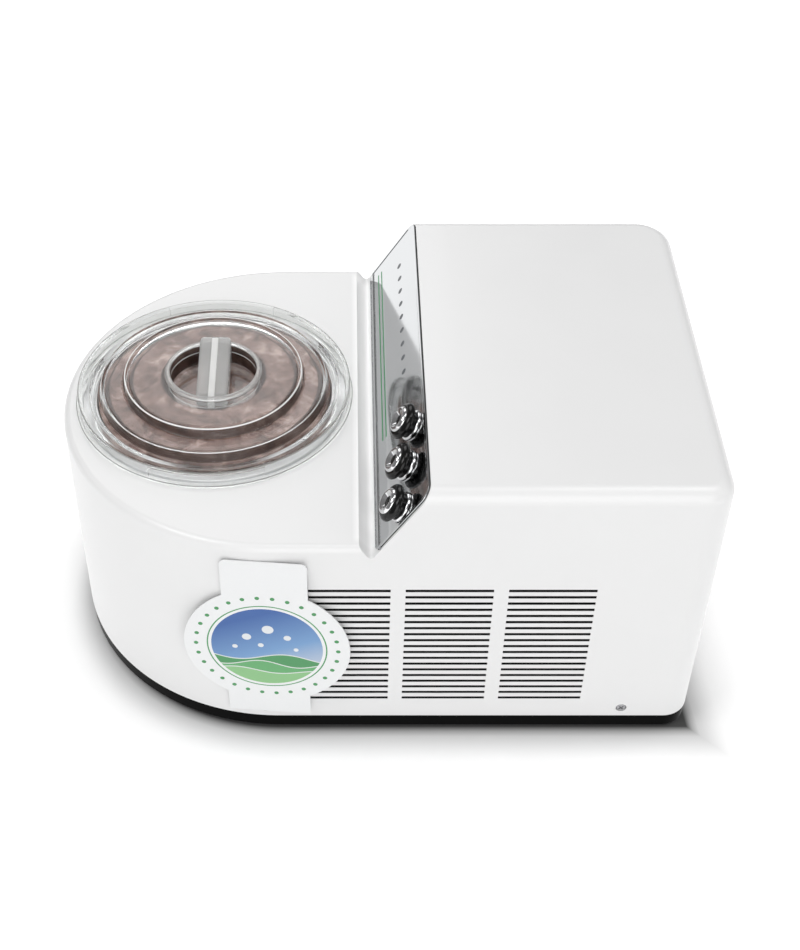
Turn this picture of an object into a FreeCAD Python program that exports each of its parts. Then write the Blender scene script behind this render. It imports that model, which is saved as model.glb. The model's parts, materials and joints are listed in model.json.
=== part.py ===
import FreeCAD, Part
import math
import os
import types

import Sketcher

# Driving sizes in millimetres, tooth counts and angles in degrees. X runs along the body from the round
# left end, Y from the front to the back, Z up from the floor. The origin is under the middle of the body.
sizes = {
    # body
    "body_length": 425,
    "body_depth": 292,
    "body_height": 220,
    "deck_drop": 45,
    "wall": 2.5,
    "seam_height": 12.3,
    "foot_height": 2,
    "front_corner": 18,
    "back_corner": 25,
    "deck_round": 5,
    "box_round": 10,
    "deck_margin": 3.4,
    "groove_width": 7.5,
    "groove_depth": 10.8,
    "slope_run": 35.4,
    # base pan and feet
    "base_inset": 0.5,
    "pan_floor": 3,
    "pan_rim": 2.5,
    "pan_rim_height": 16,
    "fit_gap": 0.3,
    "foot_radius": 13,
    "foot_edge": 34,
    # casing screws
    "screw_left": 136.6,
    "screw_right": 1.9,
    "screw_height": 20.5,
    "screw_radius": 1.6,
    "screw_head": 3.4,
    "screw_head_thick": 1.2,
    "screw_length": 9,
    "screw_recess": 0.1,
    # vents
    "vent_left": 163.5,
    "vent_width": 55.5,
    "vent_step": 64.9,
    "vent_low": 30.2,
    "vent_rows": 19,
    "vent_pitch": 5.86,
    "vent_slot": 2.2,
    "vent_frame": 1.5,
    "rear_vent_end": 42,
    # control panel and buttons
    "panel_low": 8.5,
    "panel_high": 0.8,
    "panel_side": 2.2,
    "panel_thick": 1.2,
    "panel_corner": 9,
    "button_top": 15,
    "button_rise": 7.5,
    "button_front": 15.5,
    "button_pitch": 30.5,
    "button_radius": 8,
    "button_head": 11,
    "button_head_thick": 4.4,
    "button_tail": 5,
    "button_travel": 2.5,
    "cap_radius": 9.6,
    "cap_thick": 2.6,
    "cap_dish": 1.4,
    "collar_radius": 11.4,
    "collar_height": 3,
    "slide_gap": 0.06,
    "press_gap": 0.02,
    "hole_gap": 0.4,
    "switch_radius": 10,
    "switch_length": 17,
    "board_thick": 1.6,
    "board_width": 26,
    "board_edge": 2,
    # front label
    "label_yaw": 5,
    "label_radius": 54.3,
    "label_height": 85,
    "label_tab": 55,
    "label_drop": 11,
    "label_foot": 6.7,
    "label_corner": 4,
    "label_thick": 0.8,
    "label_offset": 6.5,
    "label_stand": 0.6,
    "pad_width": 14,
    "pad_length": 110,
    "pad_depth": 2,
    # bowl, well and insulation
    "bowl_radius": 80,
    "bowl_wall": 1.2,
    "bowl_drop": 91,
    "bowl_corner": 7,
    "rim_width": 8,
    "rim_thick": 1.2,
    "bowl_gap": 0.5,
    "well_wall": 1.5,
    "well_below": 0.8,
    "sleeve_thick": 3,
    "sleeve_drop": 9,
    "sleeve_height": 76,
    "foam_thick": 12,
    "foam_room": 0.7,
    "foam_base": 19.4,
    "foam_bevel": 7,
    "foam_bore": 12,
    "shaft_radius": 5,
    "bush_wall": 1.95,
    "bush_length": 14,
    "bush_flange": 1.2,
    "post_wall": 1.5,
    "post_drop": 19,
    "tube_gap": 0.5,
    "tube_wall": 1.5,
    "tube_drop": 14,
    "seal_height": 4,
    # dasher
    "hub_gap": 0.6,
    "hub_wall": 3.4,
    "hub_cap": 6,
    "hex_radius": 4.6,
    "hex_gap": 0.1,
    "blade_gap": 2,
    "blade_width": 16,
    "blade_thick": 5,
    "blade_drop": 15,
    "arm_thick": 10,
    "arm_height": 8,
    "floor_gap": 1,
    "inner_blade": 30,
    "inner_blade_width": 10,
    "inner_blade_drop": 45,
    "grip_radius": 8,
    "grip_height": 8,
    # lid
    "lid_skirt": 3.9,
    "lid_gap": 1.5,
    "lid_wall": 2.2,
    "lid_foot": 2.4,
    "lid_step_in": 1.4,
    "lid_rim": 12.5,
    "lid_valley": 9.2,
    "lid_rim_width": 4,
    "lid_outer_in": 4.2,
    "lid_outer_rise": 15,
    "lid_step_width": 16.3,
    "lid_inner_rise": 21,
    "lid_slope": 1.5,
    "lid_bearing": 4,
    # filler cap
    "filler_flange": 33.6,
    "filler_flange_thick": 2.4,
    "filler_radius": 29.1,
    "filler_wall": 1.8,
    "filler_depth": 15.8,
    "filler_floor": 2,
    "handle_width": 22,
    "handle_top": 26,
    "handle_round": 2,
    "ridge_width": 5,
    "ridge_height": 1,
    # gear train
    "output_teeth": 56,
    "idler_pinion_teeth": 14,
    "idler_teeth": 50,
    "pinion_teeth": 12,
    "slow_module": 1.25,
    "fast_module": 1,
    "slow_thick": 7,
    "fast_thick": 5,
    "gear_gap": 1,
    "axle_radius": 3,
    "rotor_radius": 2.5,
    "rotor_drop": 3.5,
    "gearbox_wall": 3,
    "gearbox_room": 4,
    "gearbox_screw": 1.5,
    "motor_radius": 32,
    "motor_room": 1,
    # cooling circuit
    "compressor_side": 83,
    "compressor_behind": 92,
    "compressor_radius": 58,
    "compressor_height": 130,
    "compressor_round": 22,
    "seam_ring": 2.5,
    "bracket_side": 112,
    "bracket_thick": 2.5,
    "grommet_radius": 8,
    "grommet_height": 13,
    "condenser_left": 162,
    "condenser_width": 190,
    "condenser_height": 137,
    "condenser_depth": 27,
    "condenser_front": 6.5,
    "fin_pitch": 7,
    "fin_gap": 4,
    "fin_margin": 8,
    "fan_x": 282,
    "fan_z": 75,
    "fan_radius": 48,
    "fan_blade_count": 7,
    "fan_hub": 16,
    "fan_depth": 16,
    "fan_pitch": 32,
    "fan_chord": 20.8,
    "fan_blade_thick": 1.6,
    "fan_tip_gap": 3,
    "shroud_edge": 4,
    "shroud_above": 5,
    "shroud_thick": 3,
    "fan_leg": 4,
    "fan_room": 10,
    "fan_axle": 2,
    "fan_motor_radius": 20,
    "fan_motor_length": 26,
    "drier_x": 212,
    "drier_y": 86,
    "drier_radius": 9,
    "drier_low": 40,
    "drier_high": 130,
    "pipe_radius": 4,
    "pipe_bore": 3,
    "capillary_radius": 1.5,
    "pipe_height": 110,
    "liquid_height": 60,
    "pipe_clear": 2,
    "discharge_height": 50,
    # power inlet
    "inlet_side": 203,
    "inlet_z": 42,
    "inlet_width": 27,
    "inlet_height": 20,
    "inlet_wall": 2,
    "inlet_depth": 20,
    "inlet_flange": 5,
    "inlet_flange_thick": 2.2,
    "pin_width": 4,
    "pin_thick": 2,
    "pin_length": 13,
    "pin_spacing": 7,
}

doc = FreeCAD.newDocument("ice_cream_maker")
sheet = doc.addObject("Spreadsheet::Sheet", "sizes")
for row, (name, number) in enumerate(sizes.items(), start=1):
    sheet.set(f"A{row}", name)
    sheet.set(f"B{row}", str(number))
    sheet.setAlias(f"B{row}", name)
doc.recompute()


class Size:
    """A length with its value now and the sheet expression that gives it."""

    def __init__(self, value, text):
        self.value = float(value)
        self.text = text

    def __add__(self, other):
        other = size_of(other)
        return Size(self.value + other.value, f"({self.text} + {other.text})")

    def __sub__(self, other):
        other = size_of(other)
        return Size(self.value - other.value, f"({self.text} - {other.text})")

    def __mul__(self, other):
        other = size_of(other)
        return Size(self.value * other.value, f"({self.text} * {other.text})")

    def __truediv__(self, other):
        other = size_of(other)
        return Size(self.value / other.value, f"({self.text} / {other.text})")

    def __radd__(self, other):
        return size_of(other) + self

    def __rsub__(self, other):
        return size_of(other) - self

    def __rmul__(self, other):
        return size_of(other) * self

    def __neg__(self):
        return Size(-self.value, f"(0 - {self.text})")


def size_of(number):
    return number if isinstance(number, Size) else Size(number, f"({float(number)!r})")


def root(size):
    return Size(math.sqrt(size.value), f"sqrt({size.text})")


def sine(size):
    return Size(math.sin(math.radians(size.value)), f"sin({size.text})")


def cosine(size):
    return Size(math.cos(math.radians(size.value)), f"cos({size.text})")


s = types.SimpleNamespace(**{name: Size(sheet.get(name), f"sizes.{name}") for name in sizes})
s.deck_height = s.body_height - s.deck_drop
nodes = []


def bind(thing, path, size):
    thing.setExpression(path, size_of(size).text)


def place(thing, at, turn=None):
    """Put a thing at a point, turned by an angle about an axis."""
    base = FreeCAD.Vector(*[size_of(part).value for part in at])
    rotation = FreeCAD.Rotation()
    if turn:
        axis, angle = turn
        rotation = FreeCAD.Rotation(FreeCAD.Vector(*axis), size_of(angle).value)
    thing.Placement = FreeCAD.Placement(base, rotation)
    for letter, part in zip("xyz", at):
        bind(thing, f"Placement.Base.{letter}", part)
    if turn:
        bind(thing, "Placement.Rotation.Angle", size_of(angle))
    return thing


def node(thing, label):
    """Name a finished piece; its label names its file."""
    thing.Label = label
    nodes.append(thing)
    return thing


def box(name, low, high):
    thing = doc.addObject("Part::Box", name)
    for path, a, b in zip(("Length", "Width", "Height"), low, high):
        bind(thing, path, size_of(b) - a)
    return place(thing, low)


def cylinder(name, radius, at, height, turn=None):
    thing = doc.addObject("Part::Cylinder", name)
    bind(thing, "Radius", radius)
    bind(thing, "Height", height)
    return place(thing, at, turn)


def fuse(name, *things):
    thing = doc.addObject("Part::MultiFuse", name)
    thing.Shapes = list(things)
    thing.Refine = True
    return thing


def cut(name, base, *tools):
    thing = doc.addObject("Part::Cut", name)
    thing.Base = base
    thing.Tool = tools[0] if len(tools) == 1 else fuse(f"{name}_tools", *tools)
    thing.Refine = True
    return thing


def common(name, *things):
    thing = doc.addObject("Part::MultiCommon", name)
    thing.Shapes = list(things)
    return thing


def group(name, *things):
    thing = doc.addObject("Part::Compound", name)
    thing.Links = list(things)
    return thing


along_x = ((0, 1, 0), 90)
along_y = ((1, 0, 0), -90)


def new_sketch(body, plane, name):
    sketch = body.newObject("Sketcher::SketchObject", name)
    support = [item for item in body.Origin.OriginFeatures if item.Role == plane][0]
    sketch.AttachmentSupport = [(support, "")]
    sketch.MapMode = "FlatFace"
    return sketch


def hold(sketch, geometry, end, point):
    """Hold one end of a sketch line at a point given in sizes."""
    for kind, axis, part in zip(("DistanceX", "DistanceY"), (-2, -1), point):
        part = size_of(part)
        if part.text == size_of(0).text:
            sketch.addConstraint(Sketcher.Constraint("PointOnObject", geometry, end, axis))
        else:
            index = sketch.addConstraint(
                Sketcher.Constraint(kind, -1, 1, geometry, end, part.value)
            )
            bind(sketch, f"Constraints[{index}]", part)


def vector(point):
    return FreeCAD.Vector(size_of(point[0]).value, size_of(point[1]).value, 0)


def draw_polygon(sketch, points):
    count = len(points)
    for index in range(count):
        start, end = points[index], points[(index + 1) % count]
        sketch.addGeometry(Part.LineSegment(vector(start), vector(end)))
    for index in range(count):
        following = (index + 1) % count
        sketch.addConstraint(Sketcher.Constraint("Coincident", index, 2, following, 1))
        hold(sketch, index, 1, points[index])
    doc.recompute()


def pad(body, sketch, length, reverse=False):
    feature = body.newObject("PartDesign::Pad", f"{body.Name}_pad")
    feature.Profile = sketch
    feature.Reversed = reverse
    bind(feature, "Length", length)
    doc.recompute()
    return feature


def padded(name, plane, points, length, at, turn=None):
    """A body with one polygon drawn on an origin plane and padded."""
    body = doc.addObject("PartDesign::Body", name)
    sketch = new_sketch(body, plane, f"{name}_sketch")
    draw_polygon(sketch, points)
    pad(body, sketch, length)
    return place(body, at, turn)


def spun(name, points, at, turn=None):
    """A body turned round its own Z axis from radius and height points."""
    body = doc.addObject("PartDesign::Body", name)
    sketch = new_sketch(body, "XZ_Plane", f"{name}_sketch")
    draw_polygon(sketch, points)
    feature = body.newObject("PartDesign::Revolution", f"{name}_turn")
    feature.Profile = sketch
    feature.ReferenceAxis = (sketch, ["V_Axis"])
    feature.Angle = 360
    doc.recompute()
    return place(body, at, turn)


def near(number, size):
    """Whether a measured number is a size, to a thousandth."""
    return abs(number - size_of(size).value) < 1e-3


def edge_names(shape, wanted):
    return [f"Edge{index}" for index, edge in enumerate(shape.Edges, start=1) if wanted(edge)]


def round_edges(body, radius, wanted):
    """Fillet the tip's edges that a test picks out by their place."""
    base = body.Tip
    feature = body.newObject("PartDesign::Fillet", f"{body.Name}_round{len(body.Group)}")
    feature.Base = (base, edge_names(base.Shape, wanted))
    bind(feature, "Radius", radius)
    doc.recompute()
    return feature


def circle_at(radius, height):
    """Pick the round edges at a radius and height of a spun body."""

    def wanted(edge):
        curve = edge.Curve
        same = isinstance(curve, Part.Circle) and near(curve.Radius, radius)
        return same and near(curve.Center.z, height)

    return wanted


def bowl_levels():
    """Heights shared by the bowl, the well and the dasher."""
    seat = s.deck_height + s.rim_thick
    bottom = s.deck_height - s.bowl_drop
    return types.SimpleNamespace(
        seat=seat,
        rim=seat + s.rim_thick,
        bottom=bottom,
        floor=bottom + s.bowl_wall,
        well_floor=bottom - s.well_below,
        well_bottom=bottom - s.well_below - s.well_wall,
        foam=bottom - s.well_below - s.well_wall - s.fit_gap - s.foam_base,
        post=s.deck_height - s.post_drop,
        tube=s.deck_height - s.tube_drop,
    )


def centre_radii():
    """Radii about the bowl's axis, from the shaft outwards."""
    bush = s.shaft_radius + s.slide_gap
    post_in = bush + s.bush_wall
    post_out = post_in + s.post_wall
    tube_in = post_out + s.tube_gap
    tube_out = tube_in + s.tube_wall
    hub_in = tube_out + s.hub_gap
    well_in = s.bowl_radius + s.bowl_wall + s.bowl_gap
    sleeve_in = well_in + s.well_wall + s.fit_gap
    sleeve_out = sleeve_in + s.sleeve_thick
    rim = s.bowl_radius + s.rim_width
    return types.SimpleNamespace(
        bush=bush,
        post_in=post_in,
        post_out=post_out,
        tube_in=tube_in,
        tube_out=tube_out,
        hub_in=hub_in,
        hub_out=hub_in + s.hub_wall,
        well_in=well_in,
        well_out=well_in + s.well_wall,
        sleeve_in=sleeve_in,
        sleeve_out=sleeve_out,
        foam=sleeve_out + s.fit_gap + s.foam_thick,
        rim=rim,
        lid=rim + s.lid_gap + s.lid_skirt,
    )


level = bowl_levels()
ring = centre_radii()

# Places on the body that several pieces share.
left = -s.body_length / 2
front = -s.body_depth / 2
back = s.body_depth / 2
end_centre = left + s.body_depth / 2
pan_top = s.foot_height + s.pan_floor
rim_inset = s.wall + s.fit_gap
right = s.body_length / 2
bowl_x = left + s.wall + s.foam_room + ring.foam
bowl_axis = (bowl_x, size_of(0), size_of(0))
groove_start = bowl_x + ring.lid + s.deck_margin
groove_bottom = groove_start + s.groove_width
groove_z = s.deck_height - s.groove_depth
slope_top = groove_bottom + s.slope_run
compressor_x = right - s.compressor_side
compressor_y = back - s.compressor_behind
drier_x = left + s.drier_x
drier_y = front + s.drier_y
inlet_x = right - s.inlet_side

# The inclined face of the tall box, from the groove to the top edge.
slope_rise = s.body_height - groove_z
slope_length = root(s.slope_run * s.slope_run + slope_rise * slope_rise)
slope_cos = s.slope_run / slope_length
slope_sin = slope_rise / slope_length
slope_angle = Size(
    math.degrees(math.atan2(slope_rise.value, s.slope_run.value)),
    f"atan2({slope_rise.text}; {s.slope_run.text})",
)


def on_slope(up, across, out):
    """The point a way up the inclined face, behind the front, and out of the panel's surface."""
    proud = out + s.panel_thick
    x = groove_bottom + slope_cos * up - slope_sin * proud
    z = groove_z + slope_sin * up + slope_cos * proud
    return (x, front + across, z)


# Turning Z about -Y by this angle points it out of the inclined face.
out_of_slope = ((0, -1, 0), slope_angle)


def body_block(name, inset, low, high):
    """The body's plan outline, drawn in by an inset, between two heights."""
    body = doc.addObject("PartDesign::Body", name)
    sketch = new_sketch(body, "XY_Plane", f"{name}_sketch")
    radius = s.body_depth / 2 - inset
    flat_end = right - inset
    corners = [(end_centre, -radius), (flat_end, -radius), (flat_end, radius), (end_centre, radius)]
    for start, end in zip(corners, corners[1:]):
        sketch.addGeometry(Part.LineSegment(vector(start), vector(end)))
    round_end = Part.Circle(vector((end_centre, 0)), FreeCAD.Vector(0, 0, 1), radius.value)
    sketch.addGeometry(Part.ArcOfCircle(round_end, math.pi / 2, 3 * math.pi / 2))
    for index in range(4):
        following = (index + 1) % 4
        sketch.addConstraint(Sketcher.Constraint("Coincident", index, 2, following, 1))
    for index, corner in enumerate(corners[:3]):
        hold(sketch, index, 1, corner)
    hold(sketch, 2, 2, corners[3])
    middle = sketch.addConstraint(Sketcher.Constraint("DistanceX", -1, 1, 3, 3, end_centre.value))
    bind(sketch, f"Constraints[{middle}]", end_centre)
    doc.recompute()
    pad(body, sketch, size_of(high) - low)
    for radius_here, side in ((s.front_corner, -1), (s.back_corner, 1)):
        round_edges(body, radius_here - inset, upright_at(flat_end, side * radius))
    return place(body, (0, 0, low))


def level_at(edge, height):
    """Whether an edge lies flat at a height."""
    return near(edge.BoundBox.ZLength, 0) and near(edge.BoundBox.ZMin, height)


def upright_at(x, y):
    """Pick the upright edge at a plan point."""

    def wanted(edge):
        middle = edge.CenterOfMass
        here = near(middle.x, x) and near(middle.y, y)
        return here and not near(edge.BoundBox.ZLength, 0)

    return wanted


def casing_piece():
    """The white shell: round left end, deck, groove, inclined face and tall box."""
    block = body_block("casing_block", size_of(0), s.seam_height, s.body_height)
    deck = s.deck_height - s.seam_height
    groove = groove_z - s.seam_height
    top = s.body_height - s.seam_height
    beyond = s.body_length
    notch_points = [
        (-beyond, deck),
        (groove_start, deck),
        (groove_bottom, groove),
        (slope_top, top),
        (slope_top, top + s.box_round),
        (-beyond, top + s.box_round),
    ]
    sketch = new_sketch(block, "XZ_Plane", "casing_notch_sketch")
    draw_polygon(sketch, notch_points)
    notch = block.newObject("PartDesign::Pocket", "casing_notch")
    notch.Profile = sketch
    notch.Type = "ThroughAll"
    notch.SideType = "Symmetric"
    doc.recompute()

    def on_outline(edge, height):
        middle = edge.valueAt((edge.FirstParameter + edge.LastParameter) / 2)
        across = near(middle.x, groove_start) or near(middle.x, slope_top)
        return level_at(edge, height) and not across

    round_edges(block, s.deck_round, lambda edge: on_outline(edge, deck))
    round_edges(block, s.box_round, lambda edge: on_outline(edge, top))

    hollow = body_block("casing_hollow", s.wall, s.foot_height, s.body_height - s.wall)
    ceiling = s.body_height - s.wall - s.foot_height
    round_edges(hollow, s.box_round - s.wall, lambda edge: level_at(edge, ceiling))
    wall_run = s.wall / slope_sin
    under = s.deck_height - s.wall
    solid_points = [
        (-beyond, under),
        (groove_start - s.wall / 2, under),
        (groove_bottom, groove_z - s.wall * 2),
        (groove_bottom + wall_run, groove_z),
        (slope_top + wall_run, s.body_height),
        (-beyond, s.body_height),
    ]
    kept = padded("casing_kept", "XZ_Plane", solid_points, s.body_depth, (0, back, 0))
    inside = cut("casing_inside", hollow, kept)

    cuts = [inside]
    cuts.append(
        cylinder("deck_hole", ring.well_out + s.fit_gap, (bowl_x, 0, level.foam), s.deck_height)
    )
    for index in range(3):
        cuts.append(vent_window(f"front_window{index}", s.vent_left + s.vent_step * index, front))
    for index in range(2):
        x = rear_vent_place(index)
        cuts.append(vent_window(f"rear_window{index}", x, back - s.wall))
    for index in range(3):
        at = on_slope(*button_place(index), -s.switch_length)
        radius = s.button_radius + s.hole_gap
        cuts.append(
            cylinder(f"casing_button_hole{index}", radius, at, s.switch_length * 2, out_of_slope)
        )
    for index, (x, y, way) in enumerate(screw_places()):
        turn = ((1, 0, 0), 90 * way)
        hole_profile = [
            (0, -s.wall),
            (s.screw_head + s.fit_gap, -s.wall),
            (s.screw_head + s.fit_gap, s.screw_recess + s.screw_head_thick),
            (s.screw_radius + s.fit_gap, s.screw_recess + s.screw_head_thick),
            (s.screw_radius + s.fit_gap, s.wall * 2),
            (0, s.wall * 2),
        ]
        at = (x, y, s.screw_height)
        cuts.append(spun(f"casing_screw_hole{index}", hole_profile, at, turn))
    low, high = inlet_window(s.fit_gap)
    cuts.append(box("casing_inlet_window", low, high))
    return node(cut("casing_shell", block, *cuts), "casing")


def rear_vent_place(index):
    """How far a rear vent column's left edge is from the left end."""
    return s.body_length - s.rear_vent_end - s.vent_width - s.vent_step * index


def vent_tall():
    return s.vent_pitch * (s.vent_rows - 1) + s.vent_slot + s.vent_frame * 2


def vent_window(name, x, y):
    low = (left + x - s.vent_frame, y, s.vent_low - s.vent_frame)
    high = (left + x + s.vent_width + s.vent_frame, y + s.wall, low[2] + vent_tall())
    return box(name, low, high)


def vent_grille(name, x, y):
    """One flush insert with a column of slots."""
    low = (left + x - s.vent_frame, y + s.wall, s.vent_low - s.vent_frame)
    width = s.vent_width + s.vent_frame * 2
    body = doc.addObject("PartDesign::Body", name)
    plate = new_sketch(body, "XZ_Plane", f"{name}_plate")
    draw_polygon(plate, [(0, 0), (width, 0), (width, vent_tall()), (0, vent_tall())])
    pad(body, plate, s.wall)
    slot = new_sketch(body, "XZ_Plane", f"{name}_slot")
    side, top = s.vent_frame + s.vent_width, s.vent_frame + s.vent_slot
    draw_polygon(
        slot,
        [(s.vent_frame, s.vent_frame), (side, s.vent_frame), (side, top), (s.vent_frame, top)],
    )
    pocket = body.newObject("PartDesign::Pocket", f"{name}_pocket")
    pocket.Profile = slot
    pocket.Type = "ThroughAll"
    pocket.SideType = "Symmetric"
    doc.recompute()
    rows = body.newObject("PartDesign::LinearPattern", f"{name}_rows")
    rows.Originals = [pocket]
    rows.Direction = (slot, ["V_Axis"])
    bind(rows, "Length", s.vent_pitch * (s.vent_rows - 1))
    bind(rows, "Occurrences", s.vent_rows)
    body.Tip = rows
    doc.recompute()
    return place(body, low)


def screw_places():
    """Plan points of the four casing screws, and which way each one drives."""
    places = []
    # The right-hand pair stands between the condenser and the corner.
    condenser_end = left + s.condenser_left + s.condenser_width
    right_pair = (condenser_end + right - s.front_corner) / 2 - s.screw_right
    for x in (left + s.screw_left, right_pair):
        for y, way in ((front, -1), (back, 1)):
            past = end_centre - x
            if past.value > 0:
                radius = s.body_depth / 2
                y = root(radius * radius - past * past) * way
            places.append((x, size_of(y), way))
    return places


def casing_screws():
    screws = []
    for index, (x, y, way) in enumerate(screw_places()):
        turn = ((1, 0, 0), 90 * way)
        seat = s.screw_recess + s.screw_head_thick
        profile = [
            (0, s.screw_recess),
            (s.screw_head, s.screw_recess),
            (s.screw_head, seat),
            (s.screw_radius, seat),
            (s.screw_radius, s.screw_length),
            (0, s.screw_length),
        ]
        screws.append(spun(f"casing_screw{index}", profile, (x, y, s.screw_height), turn))
    node(group("casing_screw_set", *screws), "casing_screws")


def base_pan():
    """The black tray: outer band, floor and an inner rim that the casing drops over."""
    band = body_block("pan_band", s.base_inset, s.foot_height, s.seam_height)
    rim_high = s.seam_height + s.pan_rim_height
    rim = body_block("pan_rim", rim_inset, s.foot_height, rim_high)
    room = body_block("pan_room", rim_inset + s.pan_rim, pan_top, rim_high + s.wall)
    cuts = [room]
    for index, (x, y, way) in enumerate(screw_places()):
        at = (x, y - way * s.screw_length * 2 if way > 0 else y, s.screw_height)
        cuts.append(
            cylinder(f"pan_screw_hole{index}", s.screw_radius + s.slide_gap, at,
                     s.screw_length * 2, along_y)
        )
    node(cut("pan_shell", fuse("pan_solid", band, rim), *cuts), "base_pan")


def rubber_feet():
    feet = []
    reach_y = s.body_depth / 2 - s.foot_edge
    spots = [
        (end_centre, -reach_y),
        (end_centre, reach_y),
        (s.body_length / 2 - s.foot_edge, -reach_y),
        (s.body_length / 2 - s.foot_edge, reach_y),
    ]
    for index, (x, y) in enumerate(spots):
        feet.append(cylinder(f"foot{index}", s.foot_radius, (x, y, 0), s.foot_height))
    node(group("foot_set", *feet), "rubber_feet")


def grilles():
    fronts = [
        vent_grille(f"front_grille{index}", s.vent_left + s.vent_step * index, front)
        for index in range(3)
    ]
    node(group("front_grille_set", *fronts), "front_grilles")
    rears = [
        vent_grille(f"rear_grille{index}", rear_vent_place(index), back - s.wall)
        for index in range(2)
    ]
    node(group("rear_grille_set", *rears), "rear_grilles")


def button_place(index):
    """How far up the inclined face and behind the front one button's axis stands."""
    up = slope_length - s.button_top - s.button_rise * (2 - index)
    return (up, s.button_front + s.button_pitch * index)


def control_panel():
    """The bright sheet on the inclined face, with its upper corners rounded."""
    high = slope_length - s.panel_high
    wide = s.body_depth - s.panel_side * 2
    body = doc.addObject("PartDesign::Body", "panel_sheet")
    sketch = new_sketch(body, "XY_Plane", "panel_sketch")
    draw_polygon(sketch, [(s.panel_low, 0), (high, 0), (high, wide), (s.panel_low, wide)])
    pad(body, sketch, s.panel_thick)
    for side in (size_of(0), wide):
        round_edges(body, s.panel_corner, upright_at(high, side))
    seat = on_slope(size_of(0), s.panel_side, -s.panel_thick)
    place(body, seat, out_of_slope)
    holes = []
    for index in range(3):
        at = on_slope(*button_place(index), -s.switch_length)
        radius = s.button_radius + s.hole_gap
        holes.append(
            cylinder(f"panel_hole{index}", radius, at, s.switch_length * 2, out_of_slope)
        )
    node(cut("panel_holed", body, *holes), "control_panel")


def buttons():
    """Three push buttons: fixed collars and switches, moving bodies and caps."""
    collars = []
    switches = []
    for index, name in enumerate(("front_button", "middle_button", "rear_button")):
        seat = on_slope(*button_place(index), size_of(0))
        inner = s.button_radius + s.slide_gap
        edge = s.collar_height / 3
        collar = [
            (inner, 0),
            (s.collar_radius, 0),
            (s.collar_radius, s.collar_height - edge),
            (s.collar_radius - edge, s.collar_height),
            (inner, s.collar_height),
        ]
        collars.append(spun(f"collar{index}", collar, seat, out_of_slope))

        base = s.collar_height + s.button_travel + s.fit_gap
        crown = base + s.button_head_thick
        bevel = s.button_head_thick / 4
        knob = [
            (0, -s.button_tail),
            (s.button_radius, -s.button_tail),
            (s.button_radius, base),
            (s.button_head - bevel, base),
            (s.button_head, base + bevel),
            (s.button_head, crown - bevel),
            (s.button_head - bevel, crown),
            (0, crown),
        ]
        node(spun(f"{name}_knob", knob, seat, out_of_slope), name)
        cap = [
            (0, crown),
            (s.cap_radius, crown),
            (s.cap_radius, crown + s.cap_thick - bevel),
            (s.cap_radius - bevel, crown + s.cap_thick),
            (s.cap_radius - bevel * 2, crown + s.cap_thick),
            (0, crown + s.cap_thick - s.cap_dish),
        ]
        node(spun(f"{name}_disc", cap, seat, out_of_slope), f"{name}_cap")

        face = -s.panel_thick - s.wall
        end = face - s.switch_length
        bore = -(s.button_tail + s.button_travel + s.fit_gap)
        switch = [
            (0, end),
            (s.switch_radius, end),
            (s.switch_radius, face),
            (inner + s.hole_gap, face),
            (inner + s.hole_gap, bore),
            (0, bore),
        ]
        switches.append(spun(f"switch{index}", switch, seat, out_of_slope))
    node(group("collar_set", *collars), "button_collars")
    node(group("switch_set", *switches), "button_switches")

    up = button_place(1)[0]
    depth = -s.panel_thick - s.wall - s.switch_length
    across = s.button_front - s.switch_radius + s.board_edge
    long = s.button_pitch * 2 + s.switch_radius * 2 - s.board_edge * 2
    board = padded(
        "board_sheet",
        "XY_Plane",
        [(0, 0), (s.board_width, 0), (s.board_width, long), (0, long)],
        s.board_thick,
        on_slope(up - s.board_width / 2, across, depth - s.board_thick),
        out_of_slope,
    )
    node(board, "control_board")


def front_label():
    """A flat card tangent to the round end, turned a few degrees, on a strip of foam tape."""
    yaw = s.label_yaw
    radius = s.body_depth / 2 + s.label_stand
    touch_x = end_centre - radius * sine(yaw)
    touch_y = -radius * cosine(yaw)
    turn = ((0, 0, 1), -yaw)
    half = s.label_tab / 2
    middle = s.label_offset
    disc = cylinder("label_disc", s.label_radius, (middle, 0, s.label_height), s.label_thick,
                    ((1, 0, 0), 90))
    low, high = s.seam_height + s.label_foot, s.deck_height - s.label_drop
    strip = padded(
        "label_strip",
        "XZ_Plane",
        [(middle - half, low), (middle + half, low), (middle + half, high), (middle - half, high)],
        s.label_thick,
        (0, 0, 0),
    )

    def upper_corner(edge):
        through = near(edge.BoundBox.XLength, 0) and near(edge.BoundBox.ZLength, 0)
        return through and near(edge.CenterOfMass.z, high)

    round_edges(strip, s.label_corner, upper_corner)
    card = fuse("label_card", disc, strip)
    node(place(card, (touch_x, touch_y, 0), turn), "front_label")

    wide = s.pad_width / 2
    low = s.label_height - s.pad_length / 2
    tape = box("pad_block", (-wide, 0, low), (wide, s.pad_depth, low + s.pad_length))
    tape_low = (touch_x - wide * cosine(yaw), touch_y + wide * sine(yaw), low)
    place(tape, tape_low, turn)
    drum = cylinder("pad_drum", s.body_depth / 2, (end_centre, 0, 0), s.deck_height)
    node(cut("pad_strip", tape, drum), "label_pad")


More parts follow.
